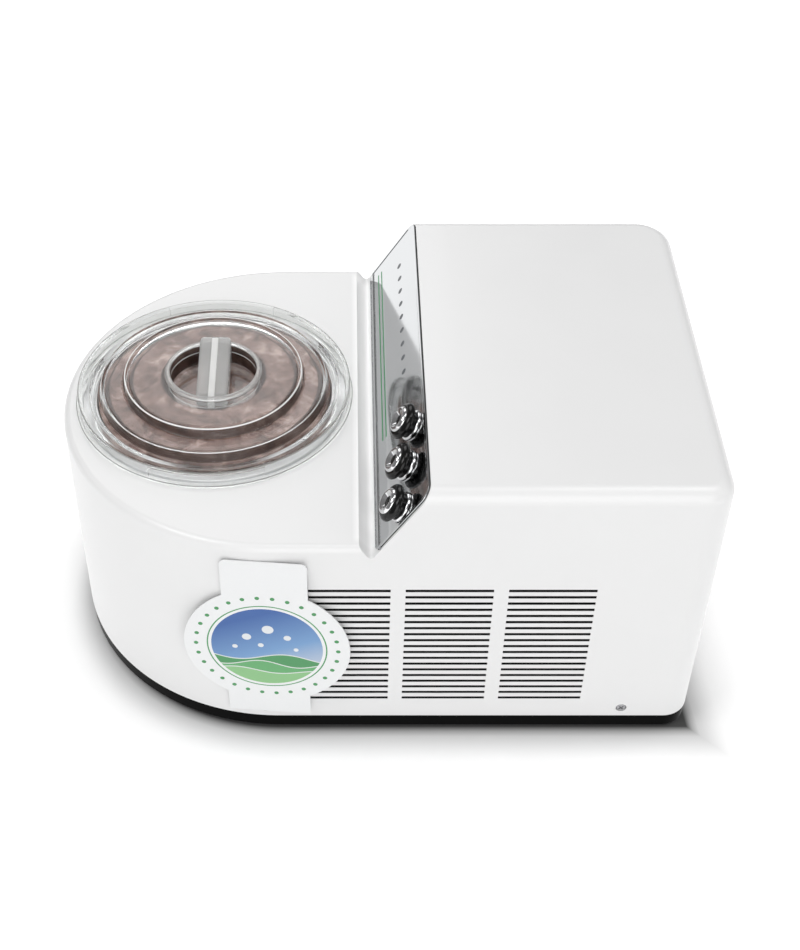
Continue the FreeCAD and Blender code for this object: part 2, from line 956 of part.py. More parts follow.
def bowl_and_well():
    bowl = spun(
        "bowl_cup",
        [
            (ring.tube_in, level.bottom),
            (s.bowl_radius + s.bowl_wall, level.bottom),
            (s.bowl_radius + s.bowl_wall, level.seat),
            (ring.rim, level.seat),
            (ring.rim, level.rim),
            (s.bowl_radius, level.rim),
            (s.bowl_radius, level.floor),
            (ring.tube_out, level.floor),
            (ring.tube_out, level.tube),
            (ring.tube_in, level.tube),
        ],
        bowl_axis,
    )
    round_edges(bowl, s.bowl_corner + s.bowl_wall,
                circle_at(s.bowl_radius + s.bowl_wall, level.bottom))
    round_edges(bowl, s.bowl_corner, circle_at(s.bowl_radius, level.floor))
    node(bowl, "bowl")

    well = spun(
        "well_cup",
        [
            (ring.post_in, level.well_bottom),
            (ring.well_out, level.well_bottom),
            (ring.well_out, s.deck_height),
            (ring.rim, s.deck_height),
            (ring.rim, level.seat),
            (ring.well_in, level.seat),
            (ring.well_in, level.well_floor),
            (ring.post_out, level.well_floor),
            (ring.post_out, level.post),
            (ring.post_in, level.post),
        ],
        bowl_axis,
    )
    node(well, "freezing_well")

    sleeve_high = s.deck_height - s.sleeve_drop
    sleeve_low = sleeve_high - s.sleeve_height
    sleeve = spun(
        "sleeve_ring",
        [
            (ring.sleeve_in, sleeve_low),
            (ring.sleeve_out, sleeve_low),
            (ring.sleeve_out, sleeve_high),
            (ring.sleeve_in, sleeve_high),
        ],
        bowl_axis,
    )
    node(sleeve, "evaporator_sleeve")

    foam_top = s.deck_height - s.wall - s.fit_gap
    foam_floor = level.well_bottom - s.fit_gap
    foam = spun(
        "foam_cup",
        [
            (s.foam_bore, level.foam),
            (ring.foam, level.foam),
            (ring.foam, foam_top - s.foam_bevel),
            (ring.foam - s.foam_bevel, foam_top),
            (ring.sleeve_out + s.fit_gap, foam_top),
            (ring.sleeve_out + s.fit_gap, foam_floor),
            (s.foam_bore, foam_floor),
        ],
        bowl_axis,
    )
    holes = []
    for name, y, radius in (
        ("suction", compressor_y, s.pipe_radius),
        ("capillary", drier_y, s.capillary_radius),
    ):
        at = (bowl_x, y, s.pipe_height)
        holes.append(cylinder(f"foam_{name}_hole", radius + s.fit_gap, at, ring.foam, along_x))
    node(cut("foam_holed", foam, *holes), "insulation")


def shaft_and_bushes():
    hex_low = level.tube + s.hub_gap
    hub_top = hex_low + s.hub_cap
    shaft_low = pan_top + s.gearbox_wall
    rod = cylinder("shaft_rod", s.shaft_radius, (bowl_x, 0, shaft_low), hex_low - shaft_low)
    tip = doc.addObject("Part::Prism", "shaft_hex")
    tip.Polygon = 6
    bind(tip, "Circumradius", s.hex_radius)
    bind(tip, "Height", hub_top - hex_low)
    place(tip, (bowl_x, 0, hex_low))
    node(fuse("shaft_solid", rod, tip), "drive_shaft")

    outer = ring.post_in - s.press_gap
    flange = ring.post_out
    upper = spun(
        "upper_bush_ring",
        [
            (ring.bush, level.post - s.bush_length),
            (outer, level.post - s.bush_length),
            (outer, level.post),
            (flange, level.post),
            (flange, level.post + s.bush_flange),
            (ring.bush, level.post + s.bush_flange),
        ],
        bowl_axis,
    )
    node(upper, "upper_bush")
    low = level.well_bottom
    lower = spun(
        "lower_bush_ring",
        [
            (ring.bush, low - s.bush_flange),
            (flange, low - s.bush_flange),
            (flange, low),
            (outer, low),
            (outer, low + s.bush_length),
            (ring.bush, low + s.bush_length),
        ],
        bowl_axis,
    )
    node(lower, "lower_bush")
    seal_low = low - s.bush_flange - s.seal_height
    seal = spun(
        "seal_ring",
        [
            (ring.bush, seal_low),
            (flange, seal_low),
            (flange, seal_low + s.seal_height),
            (ring.bush, seal_low + s.seal_height),
        ],
        bowl_axis,
    )
    node(seal, "shaft_seal")


def dasher():
    """The paddle: a hub over the bowl's tube, a floor arm and upright blades."""
    hub_low = level.floor + s.floor_gap
    hex_low = level.tube + s.hub_gap
    hub_top = hex_low + s.hub_cap
    hub = cylinder("dasher_hub", ring.hub_out, (bowl_x, 0, hub_low), hub_top - hub_low)
    reach = s.bowl_radius - s.blade_gap
    parts = [hub]
    arm_half = s.arm_thick / 2
    arm_reach = reach - s.bowl_corner
    parts.append(
        box("dasher_arm", (bowl_x - arm_reach, -arm_half, hub_low),
            (bowl_x + arm_reach, arm_half, hub_low + s.arm_height))
    )
    half = s.blade_thick / 2
    blade_low = hub_low + s.bowl_corner
    inner_low = hub_low + s.arm_height / 2
    for side in (-1, 1):
        for name, start, width, low, drop in (
            ("blade", reach - s.blade_width, s.blade_width, blade_low, s.blade_drop),
            ("inner", s.inner_blade, s.inner_blade_width, inner_low, s.inner_blade_drop),
        ):
            first, last = bowl_x + side * start, bowl_x + side * (start + width)
            if side < 0:
                first, last = last, first
            parts.append(
                box(f"dasher_{name}{side + 1}", (first, -half, low), (last, half, s.deck_height - drop))
            )
    bore = cylinder("dasher_bore", ring.hub_in, (bowl_x, 0, hub_low), hex_low - hub_low)
    socket = doc.addObject("Part::Prism", "dasher_socket")
    socket.Polygon = 6
    bind(socket, "Circumradius", s.hex_radius + s.hex_gap)
    bind(socket, "Height", hub_top - hex_low)
    place(socket, (bowl_x, 0, hex_low))
    node(cut("dasher_solid", fuse("dasher_arms", *parts), bore, socket), "dasher")

    edge = s.grip_radius / 4
    grip = spun(
        "grip_knob",
        [
            (0, hub_top),
            (s.grip_radius, hub_top),
            (s.grip_radius, hub_top + s.grip_height - edge),
            (s.grip_radius - edge, hub_top + s.grip_height),
            (0, hub_top + s.grip_height),
        ],
        bowl_axis,
    )
    node(grip, "dasher_grip")


def lid():
    """The clear stepped cover over the bowl's rim."""
    deck = s.deck_height
    t = s.lid_wall
    skirt_in = ring.rim + s.lid_gap
    skirt_out = ring.lid - s.lid_step_in
    rim_z = deck + s.lid_rim
    valley_z = deck + s.lid_valley
    outer_z = deck + s.lid_outer_rise
    inner_z = deck + s.lid_inner_rise
    rim_in = skirt_out - s.lid_slope - s.lid_rim_width
    outer_ring = s.bowl_radius - s.lid_outer_in
    inner_ring = outer_ring - s.lid_step_width
    valley = outer_ring + s.lid_slope
    bearing_in = s.bowl_radius + s.bowl_wall
    bearing_out = bearing_in + s.lid_bearing
    hole = s.filler_radius + s.filler_wall + s.bowl_gap
    cover = spun(
        "lid_cover",
        [
            (skirt_in, deck + s.fit_gap),
            (ring.lid, deck + s.fit_gap),
            (ring.lid, deck + s.lid_foot),
            (skirt_out, deck + s.lid_foot),
            (skirt_out, rim_z - s.lid_slope),
            (skirt_out - s.lid_slope, rim_z),
            (rim_in, rim_z),
            (valley, valley_z),
            (outer_ring, outer_z),
            (inner_ring + s.lid_slope, outer_z),
            (inner_ring, inner_z),
            (hole, inner_z),
            (hole, inner_z - t),
            (inner_ring - t, inner_z - t),
            (inner_ring - t + s.lid_slope, outer_z - t),
            (outer_ring - t, outer_z - t),
            (valley - t, valley_z - t),
            (bearing_in, valley_z - t),
            (bearing_in, level.rim),
            (bearing_out, level.rim),
            (bearing_out, valley_z - t),
            (skirt_in, rim_z - s.lid_slope - t),
        ],
        bowl_axis,
    )
    node(cover, "lid")

    # The filler cap: a cup with a flange on the lid and a bar handle across it.
    flange_top = inner_z + s.filler_flange_thick
    floor = flange_top - s.filler_depth
    under = floor - s.filler_floor
    cup_out = s.filler_radius + s.filler_wall
    cup = spun(
        "filler_cup",
        [
            (0, under),
            (cup_out, under),
            (cup_out, inner_z),
            (s.filler_flange, inner_z),
            (s.filler_flange, flange_top),
            (s.filler_radius, flange_top),
            (s.filler_radius, floor),
            (0, floor),
        ],
        bowl_axis,
    )
    handle_z = deck + s.handle_top
    half = s.handle_width / 2
    ridge = s.ridge_width / 2
    long = cup_out
    bar_body = padded(
        "handle_bar",
        "XZ_Plane",
        [
            (-half, floor - s.filler_floor / 2),
            (half, floor - s.filler_floor / 2),
            (half, handle_z),
            (ridge, handle_z),
            (ridge, handle_z + s.ridge_height),
            (-ridge, handle_z + s.ridge_height),
            (-ridge, handle_z),
            (-half, handle_z),
        ],
        long * 2,
        (bowl_x, long, 0),
    )

    def shoulder(edge):
        middle = edge.CenterOfMass
        outer = near(middle.z, handle_z) and near(abs(middle.x), half)
        return outer and not near(edge.BoundBox.YLength, 0)

    round_edges(bar_body, s.handle_round, shoulder)
    tall = handle_z + s.ridge_height - under
    trim = cylinder("handle_trim", s.filler_radius + s.filler_wall / 2, (bowl_x, 0, under), tall)
    node(fuse("filler_solid", cup, common("handle_trimmed", bar_body, trim)), "filler_cap")


def gear_shape(teeth, module, thick, bore, phase):
    """A spur gear with straight-flanked teeth and room for backlash."""
    addendum, dedendum = 0.8, 1.1
    root_share, tip_share = 0.30, 0.11
    pitch_radius = teeth * module / 2
    outer = pitch_radius + addendum * module
    inner = pitch_radius - dedendum * module
    step = 2 * math.pi / teeth
    tooth = ((inner, -root_share), (outer, -tip_share), (outer, tip_share), (inner, root_share))
    points = []
    for index in range(teeth):
        middle = index * step + phase
        for radius, share in tooth:
            angle = middle + share * step
            points.append(FreeCAD.Vector(radius * math.cos(angle), radius * math.sin(angle), 0))
    rim = Part.Face(Part.makePolygon(points + points[:1]))
    solid = rim.extrude(FreeCAD.Vector(0, 0, thick))
    if bore > 0:
        solid = solid.cut(Part.makeCylinder(bore, thick))
    return solid


def gear(name, shape, at):
    thing = doc.addObject("Part::Feature", name)
    thing.Shape = shape
    return place(thing, at)


def gear_places():
    """Axes and levels of the gear train along the X axis."""
    slow = s.slow_module * (s.output_teeth + s.idler_pinion_teeth) / 2
    fast = s.fast_module * (s.idler_teeth + s.pinion_teeth) / 2
    floor = pan_top + s.gearbox_wall
    low = floor + s.gear_gap
    high = low + s.slow_thick + s.gear_gap
    return types.SimpleNamespace(
        idler_x=bowl_x + slow,
        motor_x=bowl_x + slow + fast,
        floor=floor,
        low=low,
        high=high,
        cover=high + s.fast_thick + s.gear_gap,
        top=high + s.fast_thick + s.gear_gap + s.gearbox_wall,
        motor=level.foam - s.motor_room,
    )


train = gear_places()


def drive_gears():
    output = gear_shape(
        int(s.output_teeth.value), s.slow_module.value, s.slow_thick.value,
        s.shaft_radius.value, 0
    )
    node(gear("output_wheel", output, (bowl_x, 0, train.low)), "output_gear")

    bore = s.axle_radius.value + s.slide_gap.value
    small_teeth = int(s.idler_pinion_teeth.value)
    rise = (train.high - train.low).value
    facing = math.pi + math.pi / small_teeth
    small = gear_shape(small_teeth, s.slow_module.value, rise, bore, facing)
    large = gear_shape(
        int(s.idler_teeth.value), s.fast_module.value, s.fast_thick.value, bore, 0
    )
    large.translate(FreeCAD.Vector(0, 0, rise))
    node(gear("idler_wheel", small.fuse(large).removeSplitter(), (train.idler_x, 0, train.low)),
         "idler_gear")
    axle_low = pan_top + s.gearbox_wall
    node(cylinder("idler_pin", s.axle_radius, (train.idler_x, 0, axle_low),
                  train.cover - axle_low), "idler_axle")

    pinion_teeth = int(s.pinion_teeth.value)
    pinion = gear_shape(
        pinion_teeth, s.fast_module.value, s.fast_thick.value, 0,
        math.pi + math.pi / pinion_teeth
    )
    stem = Part.makeCylinder(s.rotor_radius.value, (train.motor - s.rotor_drop - train.high).value)
    node(gear("rotor", pinion.fuse(stem).removeSplitter(), (train.motor_x, 0, train.high)),
         "motor_pinion")


def gearbox():
    """Case and cover round the gear train, with the flat motor on top."""
    reach_left = s.slow_module * s.output_teeth / 2 + s.slow_module + s.gearbox_room
    reach_right = s.motor_radius
    half = reach_left
    x0 = bowl_x - reach_left - s.gearbox_wall
    x1 = train.motor_x + reach_right
    outer = box("gearbox_outer", (x0, -half - s.gearbox_wall, pan_top),
                (x1, half + s.gearbox_wall, train.cover))
    inner = box("gearbox_inner", (x0 + s.gearbox_wall, -half, train.floor),
                (x1 - s.gearbox_wall, half, train.cover))
    node(cut("gearbox_tray", outer, inner), "gearbox_case")

    lid_plate = box("gearbox_plate", (x0, -half - s.gearbox_wall, train.cover),
                    (x1, half + s.gearbox_wall, train.top))
    shaft_hole = cylinder("gearbox_shaft_hole", s.shaft_radius + s.slide_gap,
                          (bowl_x, 0, train.cover), s.gearbox_wall)
    rotor_hole = cylinder("gearbox_rotor_hole", s.rotor_radius + s.hole_gap,
                          (train.motor_x, 0, train.cover), s.gearbox_wall)
    edge = s.gearbox_wall / 2
    spots = [(x, y) for x in (x0 + edge, x1 - edge)
             for y in (-half - edge, half + edge)]
    holes = []
    screws = []
    for index, (x, y) in enumerate(spots):
        at = (x, y, train.cover)
        radius = s.gearbox_screw / 2 + s.slide_gap
        holes.append(cylinder(f"gearbox_screw_hole{index}", radius, at, s.gearbox_wall))
        profile = [
            (0, 0),
            (s.gearbox_screw / 2, 0),
            (s.gearbox_screw / 2, s.gearbox_wall),
            (s.gearbox_screw, s.gearbox_wall),
            (s.gearbox_screw, s.gearbox_wall + s.gearbox_screw),
            (0, s.gearbox_wall + s.gearbox_screw),
        ]
        screws.append(spun(f"gearbox_screw{index}", profile, at))
    node(cut("gearbox_lid", lid_plate, shaft_hole, rotor_hole, *holes), "gearbox_cover")
    node(group("gearbox_screw_set", *screws), "gearbox_screws")

    bore = s.rotor_radius + s.slide_gap
    bevel = s.gearbox_wall
    motor = spun(
        "motor_can",
        [
            (bore, train.top),
            (s.motor_radius, train.top),
            (s.motor_radius, train.motor - bevel),
            (s.motor_radius - bevel, train.motor),
            (bore, train.motor),
        ],
        (train.motor_x, 0, 0),
    )
    node(motor, "motor_body")


def compressor():
    x, y = compressor_x, compressor_y
    plate_low = pan_top + s.grommet_height
    low = plate_low + s.bracket_thick
    high = low + s.compressor_height
    seam = low + s.compressor_height / 2
    ring_half = s.seam_ring
    radius = s.compressor_radius
    shell = spun(
        "compressor_can",
        [
            (0, low),
            (radius, low),
            (radius, seam - ring_half),
            (radius + s.seam_ring, seam - ring_half),
            (radius + s.seam_ring, seam + ring_half),
            (radius, seam + ring_half),
            (radius, high),
            (0, high),
        ],
        (x, y, 0),
    )
    round_edges(shell, s.compressor_round, circle_at(radius, high))
    round_edges(shell, s.compressor_round / 2, circle_at(radius, low))
    node(shell, "compressor_shell")

    half = s.bracket_side / 2
    plate = box("bracket_plate", (x - half, y - half, plate_low), (x + half, y + half, low))
    node(plate, "compressor_bracket")
    inset = half - s.grommet_radius
    grommets = []
    for index, (sx, sy) in enumerate(((-1, -1), (-1, 1), (1, -1), (1, 1))):
        at = (x + inset * sx, y + inset * sy, pan_top)
        grommets.append(cylinder(f"grommet{index}", s.grommet_radius, at, s.grommet_height))
    node(group("grommet_set", *grommets), "compressor_grommets")


def condenser_back():
    return front + s.condenser_front + s.condenser_depth


def condenser():
    """A finned block behind the front vents, slotted between its fins."""
    x0 = left + s.condenser_left
    body = doc.addObject("PartDesign::Body", "condenser_block")
    plan = new_sketch(body, "XZ_Plane", "condenser_plan")
    wide, tall = s.condenser_width, s.condenser_height
    draw_polygon(plan, [(0, 0), (wide, 0), (wide, tall), (0, tall)])
    pad(body, plan, s.condenser_depth)
    slot = new_sketch(body, "XZ_Plane", "condenser_slot")
    a, b = s.fin_margin, s.fin_margin + s.fin_gap
    draw_polygon(slot, [(a, a), (b, a), (b, tall - a), (a, tall - a)])
    pocket = body.newObject("PartDesign::Pocket", "condenser_gap")
    pocket.Profile = slot
    pocket.Type = "ThroughAll"
    pocket.SideType = "Symmetric"
    doc.recompute()
    fins = body.newObject("PartDesign::LinearPattern", "condenser_fins")
    fins.Originals = [pocket]
    fins.Direction = (slot, ["H_Axis"])
    count = int((wide.value - 2 * s.fin_margin.value - s.fin_gap.value) / s.fin_pitch.value) + 1
    bind(fins, "Length", s.fin_pitch * (count - 1))
    fins.Occurrences = count
    body.Tip = fins
    doc.recompute()
    place(body, (x0, condenser_back(), pan_top))
    node(body, "condenser")


shroud_half = s.fan_radius + s.fan_tip_gap + s.shroud_edge
fan_x = left + s.fan_x


def fan():
    """Shroud plate with legs and a crossbar, motor behind it, blades between."""
    x, z = fan_x, s.fan_z
    y0 = condenser_back() + s.fit_gap
    y1 = y0 + s.shroud_thick
    bar_y = y1 + s.fan_depth + s.fan_room
    half = shroud_half
    top = z + half + s.shroud_above
    plate = box("shroud_plate", (x - half, y0, pan_top), (x + half, y1, top))
    legs = []
    for side in (-1, 1):
        near = x + side * half
        low_x = near if side < 0 else near - s.fan_leg
        legs.append(
            box(f"shroud_leg{side + 1}", (low_x, y1, z - s.fan_leg * 2),
                (low_x + s.fan_leg, bar_y, z + s.fan_leg * 2))
        )
    bar = box("shroud_bar", (x - half, bar_y, z - s.fan_leg * 2),
              (x + half, bar_y + s.fan_leg, z + s.fan_leg * 2))
    throat = cylinder("shroud_throat", s.fan_radius + s.fan_tip_gap, (x, y0, z), s.shroud_thick,
                      along_y)
    axle_hole = cylinder("shroud_axle_hole", s.fan_axle + s.hole_gap, (x, bar_y, z), s.fan_leg,
                         along_y)
    node(cut("shroud_frame", fuse("shroud_solid", plate, *legs, bar), throat, axle_hole),
         "fan_shroud")

    motor_y = bar_y + s.fan_leg
    can = cylinder("fan_can", s.fan_motor_radius, (x, motor_y, z), s.fan_motor_length, along_y)
    bore = cylinder("fan_can_bore", s.fan_axle + s.slide_gap, (x, motor_y, z),
                    s.fan_motor_length, along_y)
    node(cut("fan_can_bored", can, bore), "fan_motor")

    depth = s.fan_depth.value
    blades = Part.makeCylinder(s.fan_hub.value, depth)
    blade_long = s.fan_radius.value - s.fan_hub.value / 2
    blade_wide = s.fan_chord.value
    blade_thick = s.fan_blade_thick.value
    for index in range(int(s.fan_blade_count.value)):
        blade = Part.makeBox(blade_long, blade_wide, blade_thick)
        blade.translate(FreeCAD.Vector(s.fan_hub.value / 2, -blade_wide / 2, -blade_thick / 2))
        blade.rotate(FreeCAD.Vector(), FreeCAD.Vector(1, 0, 0), s.fan_pitch.value)
        blade.translate(FreeCAD.Vector(0, 0, depth / 2))
        turn = 360 * index / s.fan_blade_count.value
        blade.rotate(FreeCAD.Vector(), FreeCAD.Vector(0, 0, 1), turn)
        blades = blades.fuse(blade)
    tips = Part.makeCylinder(s.fan_radius.value, depth)
    blades = blades.common(tips)
    reach = (s.fan_room + s.fan_leg + s.fan_motor_length / 2).value
    axle = Part.makeCylinder(s.fan_axle.value, reach)
    axle.translate(FreeCAD.Vector(0, 0, depth))
    wheel = doc.addObject("Part::Feature", "fan_wheel")
    wheel.Shape = blades.fuse(axle).removeSplitter()
    node(place(wheel, (x, y1 + s.fan_room / 2, z), along_y), "fan_blades")


def tube(name, radius, bore, at, length, turn):
    pipe = cylinder(f"{name}_rod", radius, at, length, turn)
    hole = cylinder(f"{name}_bore", bore, at, length, turn)
    return node(cut(f"{name}_tube", pipe, hole), name)


def refrigerant_lines():
    """Drier and the straight copper lines between the cooling pieces."""
    drier = cylinder("drier_can", s.drier_radius, (drier_x, drier_y, s.drier_low),
                     s.drier_high - s.drier_low)
    node(drier, "filter_drier")

    def sleeve_face(near):
        return bowl_x + root(ring.sleeve_out * ring.sleeve_out - near * near) + s.fit_gap

    start = sleeve_face(compressor_y - s.pipe_radius)
    end = compressor_x - s.compressor_radius - s.fit_gap
    tube("suction_pipe", s.pipe_radius, s.pipe_bore, (start, compressor_y, s.pipe_height),
         end - start, along_x)
    start = sleeve_face(drier_y + s.capillary_radius)
    end = drier_x - s.drier_radius - s.fit_gap
    tube("capillary_tube", s.capillary_radius, s.capillary_radius / 2,
         (start, drier_y, s.pipe_height), end - start, along_x)
    start = condenser_back() + s.fit_gap
    end = drier_y - s.drier_radius - s.fit_gap
    tube("liquid_pipe", s.pipe_radius, s.pipe_bore, (drier_x, start, s.liquid_height),
         end - start, along_y)
    discharge_x = fan_x + shroud_half + s.pipe_clear + s.pipe_radius
    offset = discharge_x - compressor_x
    radius = s.compressor_radius
    end = compressor_y - root(radius * radius - offset * offset) - s.fit_gap
    tube("discharge_pipe", s.pipe_radius, s.pipe_bore,
         (discharge_x, start, s.discharge_height), end - start, along_y)


def inlet_window(gap):
    half_x = s.inlet_width / 2 + s.inlet_wall + gap
    half_z = s.inlet_height / 2 + s.inlet_wall + gap
    x = inlet_x
    low = (x - half_x, back - s.wall * 2, s.inlet_z - half_z)
    high = (x + half_x, back + s.wall, s.inlet_z + half_z)
    return low, high


def power_inlet():
    """The rear socket: a flanged cup with three pins."""
    x = inlet_x
    low, high = inlet_window(size_of(0))
    deep = back - s.inlet_depth
    cup = box("inlet_cup", (low[0], deep, low[2]), (high[0], back, high[2]))
    flange = box("inlet_plate", (low[0] - s.inlet_flange, back, low[2] - s.inlet_flange),
                 (high[0] + s.inlet_flange, back + s.inlet_flange_thick, high[2] + s.inlet_flange))
    half_x, half_z = s.inlet_width / 2, s.inlet_height / 2
    room = box("inlet_room", (x - half_x, deep + s.inlet_wall, s.inlet_z - half_z),
               (x + half_x, back + s.inlet_flange_thick, s.inlet_z + half_z))
    node(cut("inlet_socket", fuse("inlet_solid", cup, flange), room), "power_inlet")
    pins = []
    for index, (dx, dz) in enumerate(((-1, 0), (0, 0.5), (1, 0))):
        px = x + s.pin_spacing * dx
        pz = s.inlet_z + s.pin_width * dz
        pins.append(
            box(f"inlet_pin{index}",
                (px - s.pin_thick / 2, deep + s.inlet_wall, pz - s.pin_width / 2),
                (px + s.pin_thick / 2, deep + s.inlet_wall + s.pin_length, pz + s.pin_width / 2))
        )
    node(group("inlet_pin_set", *pins), "inlet_pins")


casing_piece()
base_pan()
rubber_feet()
casing_screws()
grilles()
control_panel()
buttons()
front_label()
bowl_and_well()
shaft_and_bushes()
dasher()
lid()
drive_gears()
gearbox()
compressor()
condenser()
fan()
refrigerant_lines()
power_inlet()

doc.recompute()
for item in doc.Objects:
    if "Invalid" in item.State or "Error" in item.State:
        raise RuntimeError(f"{item.Label} failed: {item.State}")
for item in nodes:
    if item.Shape.isNull() or not item.Shape.isValid():
        raise RuntimeError(f"{item.Label} has no valid shape")

os.makedirs("parts", exist_ok=True)
for item in nodes:
    item.Shape.exportStep(f"parts/{item.Label}.step")
print(f"{len(nodes)} nodes written")
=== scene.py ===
import json
import math

import bmesh
import bpy
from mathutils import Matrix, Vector, noise


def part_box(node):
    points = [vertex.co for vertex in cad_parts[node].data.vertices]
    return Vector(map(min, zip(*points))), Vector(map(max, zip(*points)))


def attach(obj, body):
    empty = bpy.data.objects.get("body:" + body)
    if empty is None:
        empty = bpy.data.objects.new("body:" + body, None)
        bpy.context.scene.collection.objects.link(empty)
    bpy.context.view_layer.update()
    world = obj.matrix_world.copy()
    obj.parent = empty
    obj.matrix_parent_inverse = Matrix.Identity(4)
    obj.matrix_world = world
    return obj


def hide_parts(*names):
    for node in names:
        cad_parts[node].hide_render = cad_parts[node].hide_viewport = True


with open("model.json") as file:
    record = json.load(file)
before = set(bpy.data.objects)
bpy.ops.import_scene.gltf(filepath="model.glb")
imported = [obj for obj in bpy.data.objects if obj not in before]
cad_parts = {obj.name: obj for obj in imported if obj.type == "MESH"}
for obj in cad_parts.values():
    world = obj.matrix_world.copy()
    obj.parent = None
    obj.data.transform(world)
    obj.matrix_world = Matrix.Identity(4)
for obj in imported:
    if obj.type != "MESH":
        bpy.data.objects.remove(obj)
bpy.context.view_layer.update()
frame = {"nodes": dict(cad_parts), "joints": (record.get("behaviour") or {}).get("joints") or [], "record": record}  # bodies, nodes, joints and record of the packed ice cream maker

mm = 0.001
tiny = 0.001 * mm  # corners nearer than this are one corner
close = 0.02 * mm  # an edge this near to a place is at it
fit = 0.3 * mm
overshoot = 5 * mm  # how far a cutter reaches past a face
fineEdge = 0.15 * mm
flatTop = 0.99  # a face whose normal rises this much looks straight up

# Main sizes of the body, the same as the solids have
body = {
    "length": 425 * mm,
    "depth": 292 * mm,
    "top": 220 * mm,
    "deck": 175 * mm,
    "seam": 12.3 * mm,
    "wall": 2.5 * mm,
    "frontCorner": 18 * mm,
    "backCorner": 25 * mm,
    "segments": (56, 14, 16),  # of the round end, the front corner and the back corner
    "grooveStart": -13.7 * mm,
    "grooveBottom": -6.2 * mm,
    "grooveZ": 164.2 * mm,
    "slopeTop": 29.2 * mm,
}
frontY = -body["depth"] / 2
backY = body["depth"] / 2
endX = body["length"] / 2
slopeRise = body["top"] - body["grooveZ"]
slopeRun = body["slopeTop"] - body["grooveBottom"]
slopeLength = math.hypot(slopeRun, slopeRise)
slopeAngle = math.atan2(slopeRise, slopeRun)
slopeTurn = (0, -slopeAngle, 0)  # turns Z out of the inclined face and X up it
slopeFoot = (body["grooveBottom"], 0, body["grooveZ"])
bowlX = next(j for j in frame["joints"] if j["name"] == "drive_spin")["pos_m"][0]
bowlAxis = (bowlX, 0, 0)


# Small tools for modelling by hand

def deselect():
    if bpy.context.mode != "OBJECT":
        bpy.ops.object.mode_set(mode="OBJECT")
    bpy.ops.object.select_all(action="DESELECT")


def activate(piece):
    deselect()
    piece.select_set(True)
    bpy.context.view_layer.objects.active = piece


def edit(piece):
    activate(piece)
    bpy.ops.object.mode_set(mode="EDIT")


def settle(piece):  # puts the piece's place and turn into its mesh
    activate(piece)
    bpy.ops.object.transform_apply(location=True, rotation=True, scale=True)


def pick(piece, kind, test):  # selects corners, edges or faces by their place
    bpy.ops.mesh.select_mode(type=kind)
    bpy.ops.mesh.select_all(action="DESELECT")
    shape = bmesh.from_edit_mesh(piece.data)
    items = {"VERT": shape.verts, "EDGE": shape.edges, "FACE": shape.faces}[kind]
    for item in items:
        if test(item):
            item.select_set(True)
    bmesh.update_edit_mesh(piece.data)


def near(a, b):
    return abs(a - b) < close


def ends(edge):
    return edge.verts[0].co, edge.verts[1].co


def across(edge, x):  # both ends at one X
    a, b = ends(edge)
    return near(a.x, x) and near(b.x, x)


def level(edge, height):  # both ends at one height
    a, b = ends(edge)
    return near(a.z, height) and near(b.z, height)


def upright(edge, x, y=None):  # both ends at one X and one Y
    a, b = ends(edge)
    return across(edge, x) and near(a.y, b.y) and (y is None or near(a.y, y))


def pickAll():
    bpy.ops.mesh.select_all(action="SELECT")


def extrude(step):
    bpy.ops.mesh.extrude_region_move(TRANSFORM_OT_translate={"value": step})


def modify(piece, kind, **settings):  # adds a modifier and applies it
    activate(piece)
    change = piece.modifiers.new(kind, kind)
    for key, value in settings.items():
        setattr(change, key, value)
    bpy.ops.object.modifier_apply(modifier=change.name)


def weld(reach=tiny):  # makes corners that lie together one
    pickAll()
    bpy.ops.mesh.remove_doubles(threshold=reach)


def bevelEdges(piece, test, width, segments):
    edit(piece)
    pick(piece, "EDGE", test)
    bpy.ops.mesh.bevel(offset=width, segments=segments, affect="EDGES", clamp_overlap=False)
    weld()
    deselect()


def bevelAll(piece, width, segments, angle):  # rounds every edge sharper than an angle
    limit = {"limit_method": "ANGLE", "angle_limit": math.radians(angle)}
    modify(piece, "BEVEL", width=width, segments=segments, **limit)


def smooth(piece, angle, weighted=True):
    activate(piece)
    bpy.ops.object.shade_smooth_by_angle(angle=math.radians(angle))
    if weighted:
        modify(piece, "WEIGHTED_NORMAL", keep_sharp=True)


def plainBox(name, low, high):
    deselect()
    middle = [(a + b) / 2 for a, b in zip(low, high)]
    size = [b - a for a, b in zip(low, high)]
    bpy.ops.mesh.primitive_cube_add(size=1, location=middle, scale=size)
    piece = bpy.context.active_object
    piece.name = name
    settle(piece)
    return piece


def roundRod(name, radius, low, high, at, sides, turn=(0, 0, 0)):
    deselect()
    bpy.ops.mesh.primitive_cylinder_add(vertices=sides, radius=radius, depth=high - low)
    piece = bpy.context.active_object
    piece.name = name
    piece.location = (0, 0, (low + high) / 2)
    settle(piece)
    piece.rotation_euler = turn
    piece.location = at
    settle(piece)
    return piece


def drawWire(name, points, closed):  # a chain of corners, extruded one by one
    deselect()
    bpy.ops.mesh.primitive_plane_add(size=mm, location=points[0])
    piece = bpy.context.active_object
    piece.name = name
    settle(piece)
    edit(piece)
    bpy.ops.mesh.select_mode(type="VERT")
    pickAll()
    bpy.ops.mesh.merge(type="CENTER")
    for start, end in zip(points, points[1:]):
        step = Vector(end) - Vector(start)
        bpy.ops.mesh.extrude_vertices_move(TRANSFORM_OT_translate={"value": step})
    if closed:
        first, last = Vector(points[0]), Vector(points[-1])
        pick(piece, "VERT", lambda v: (v.co - first).length < tiny or (v.co - last).length < tiny)
        bpy.ops.mesh.edge_face_add()
    return piece


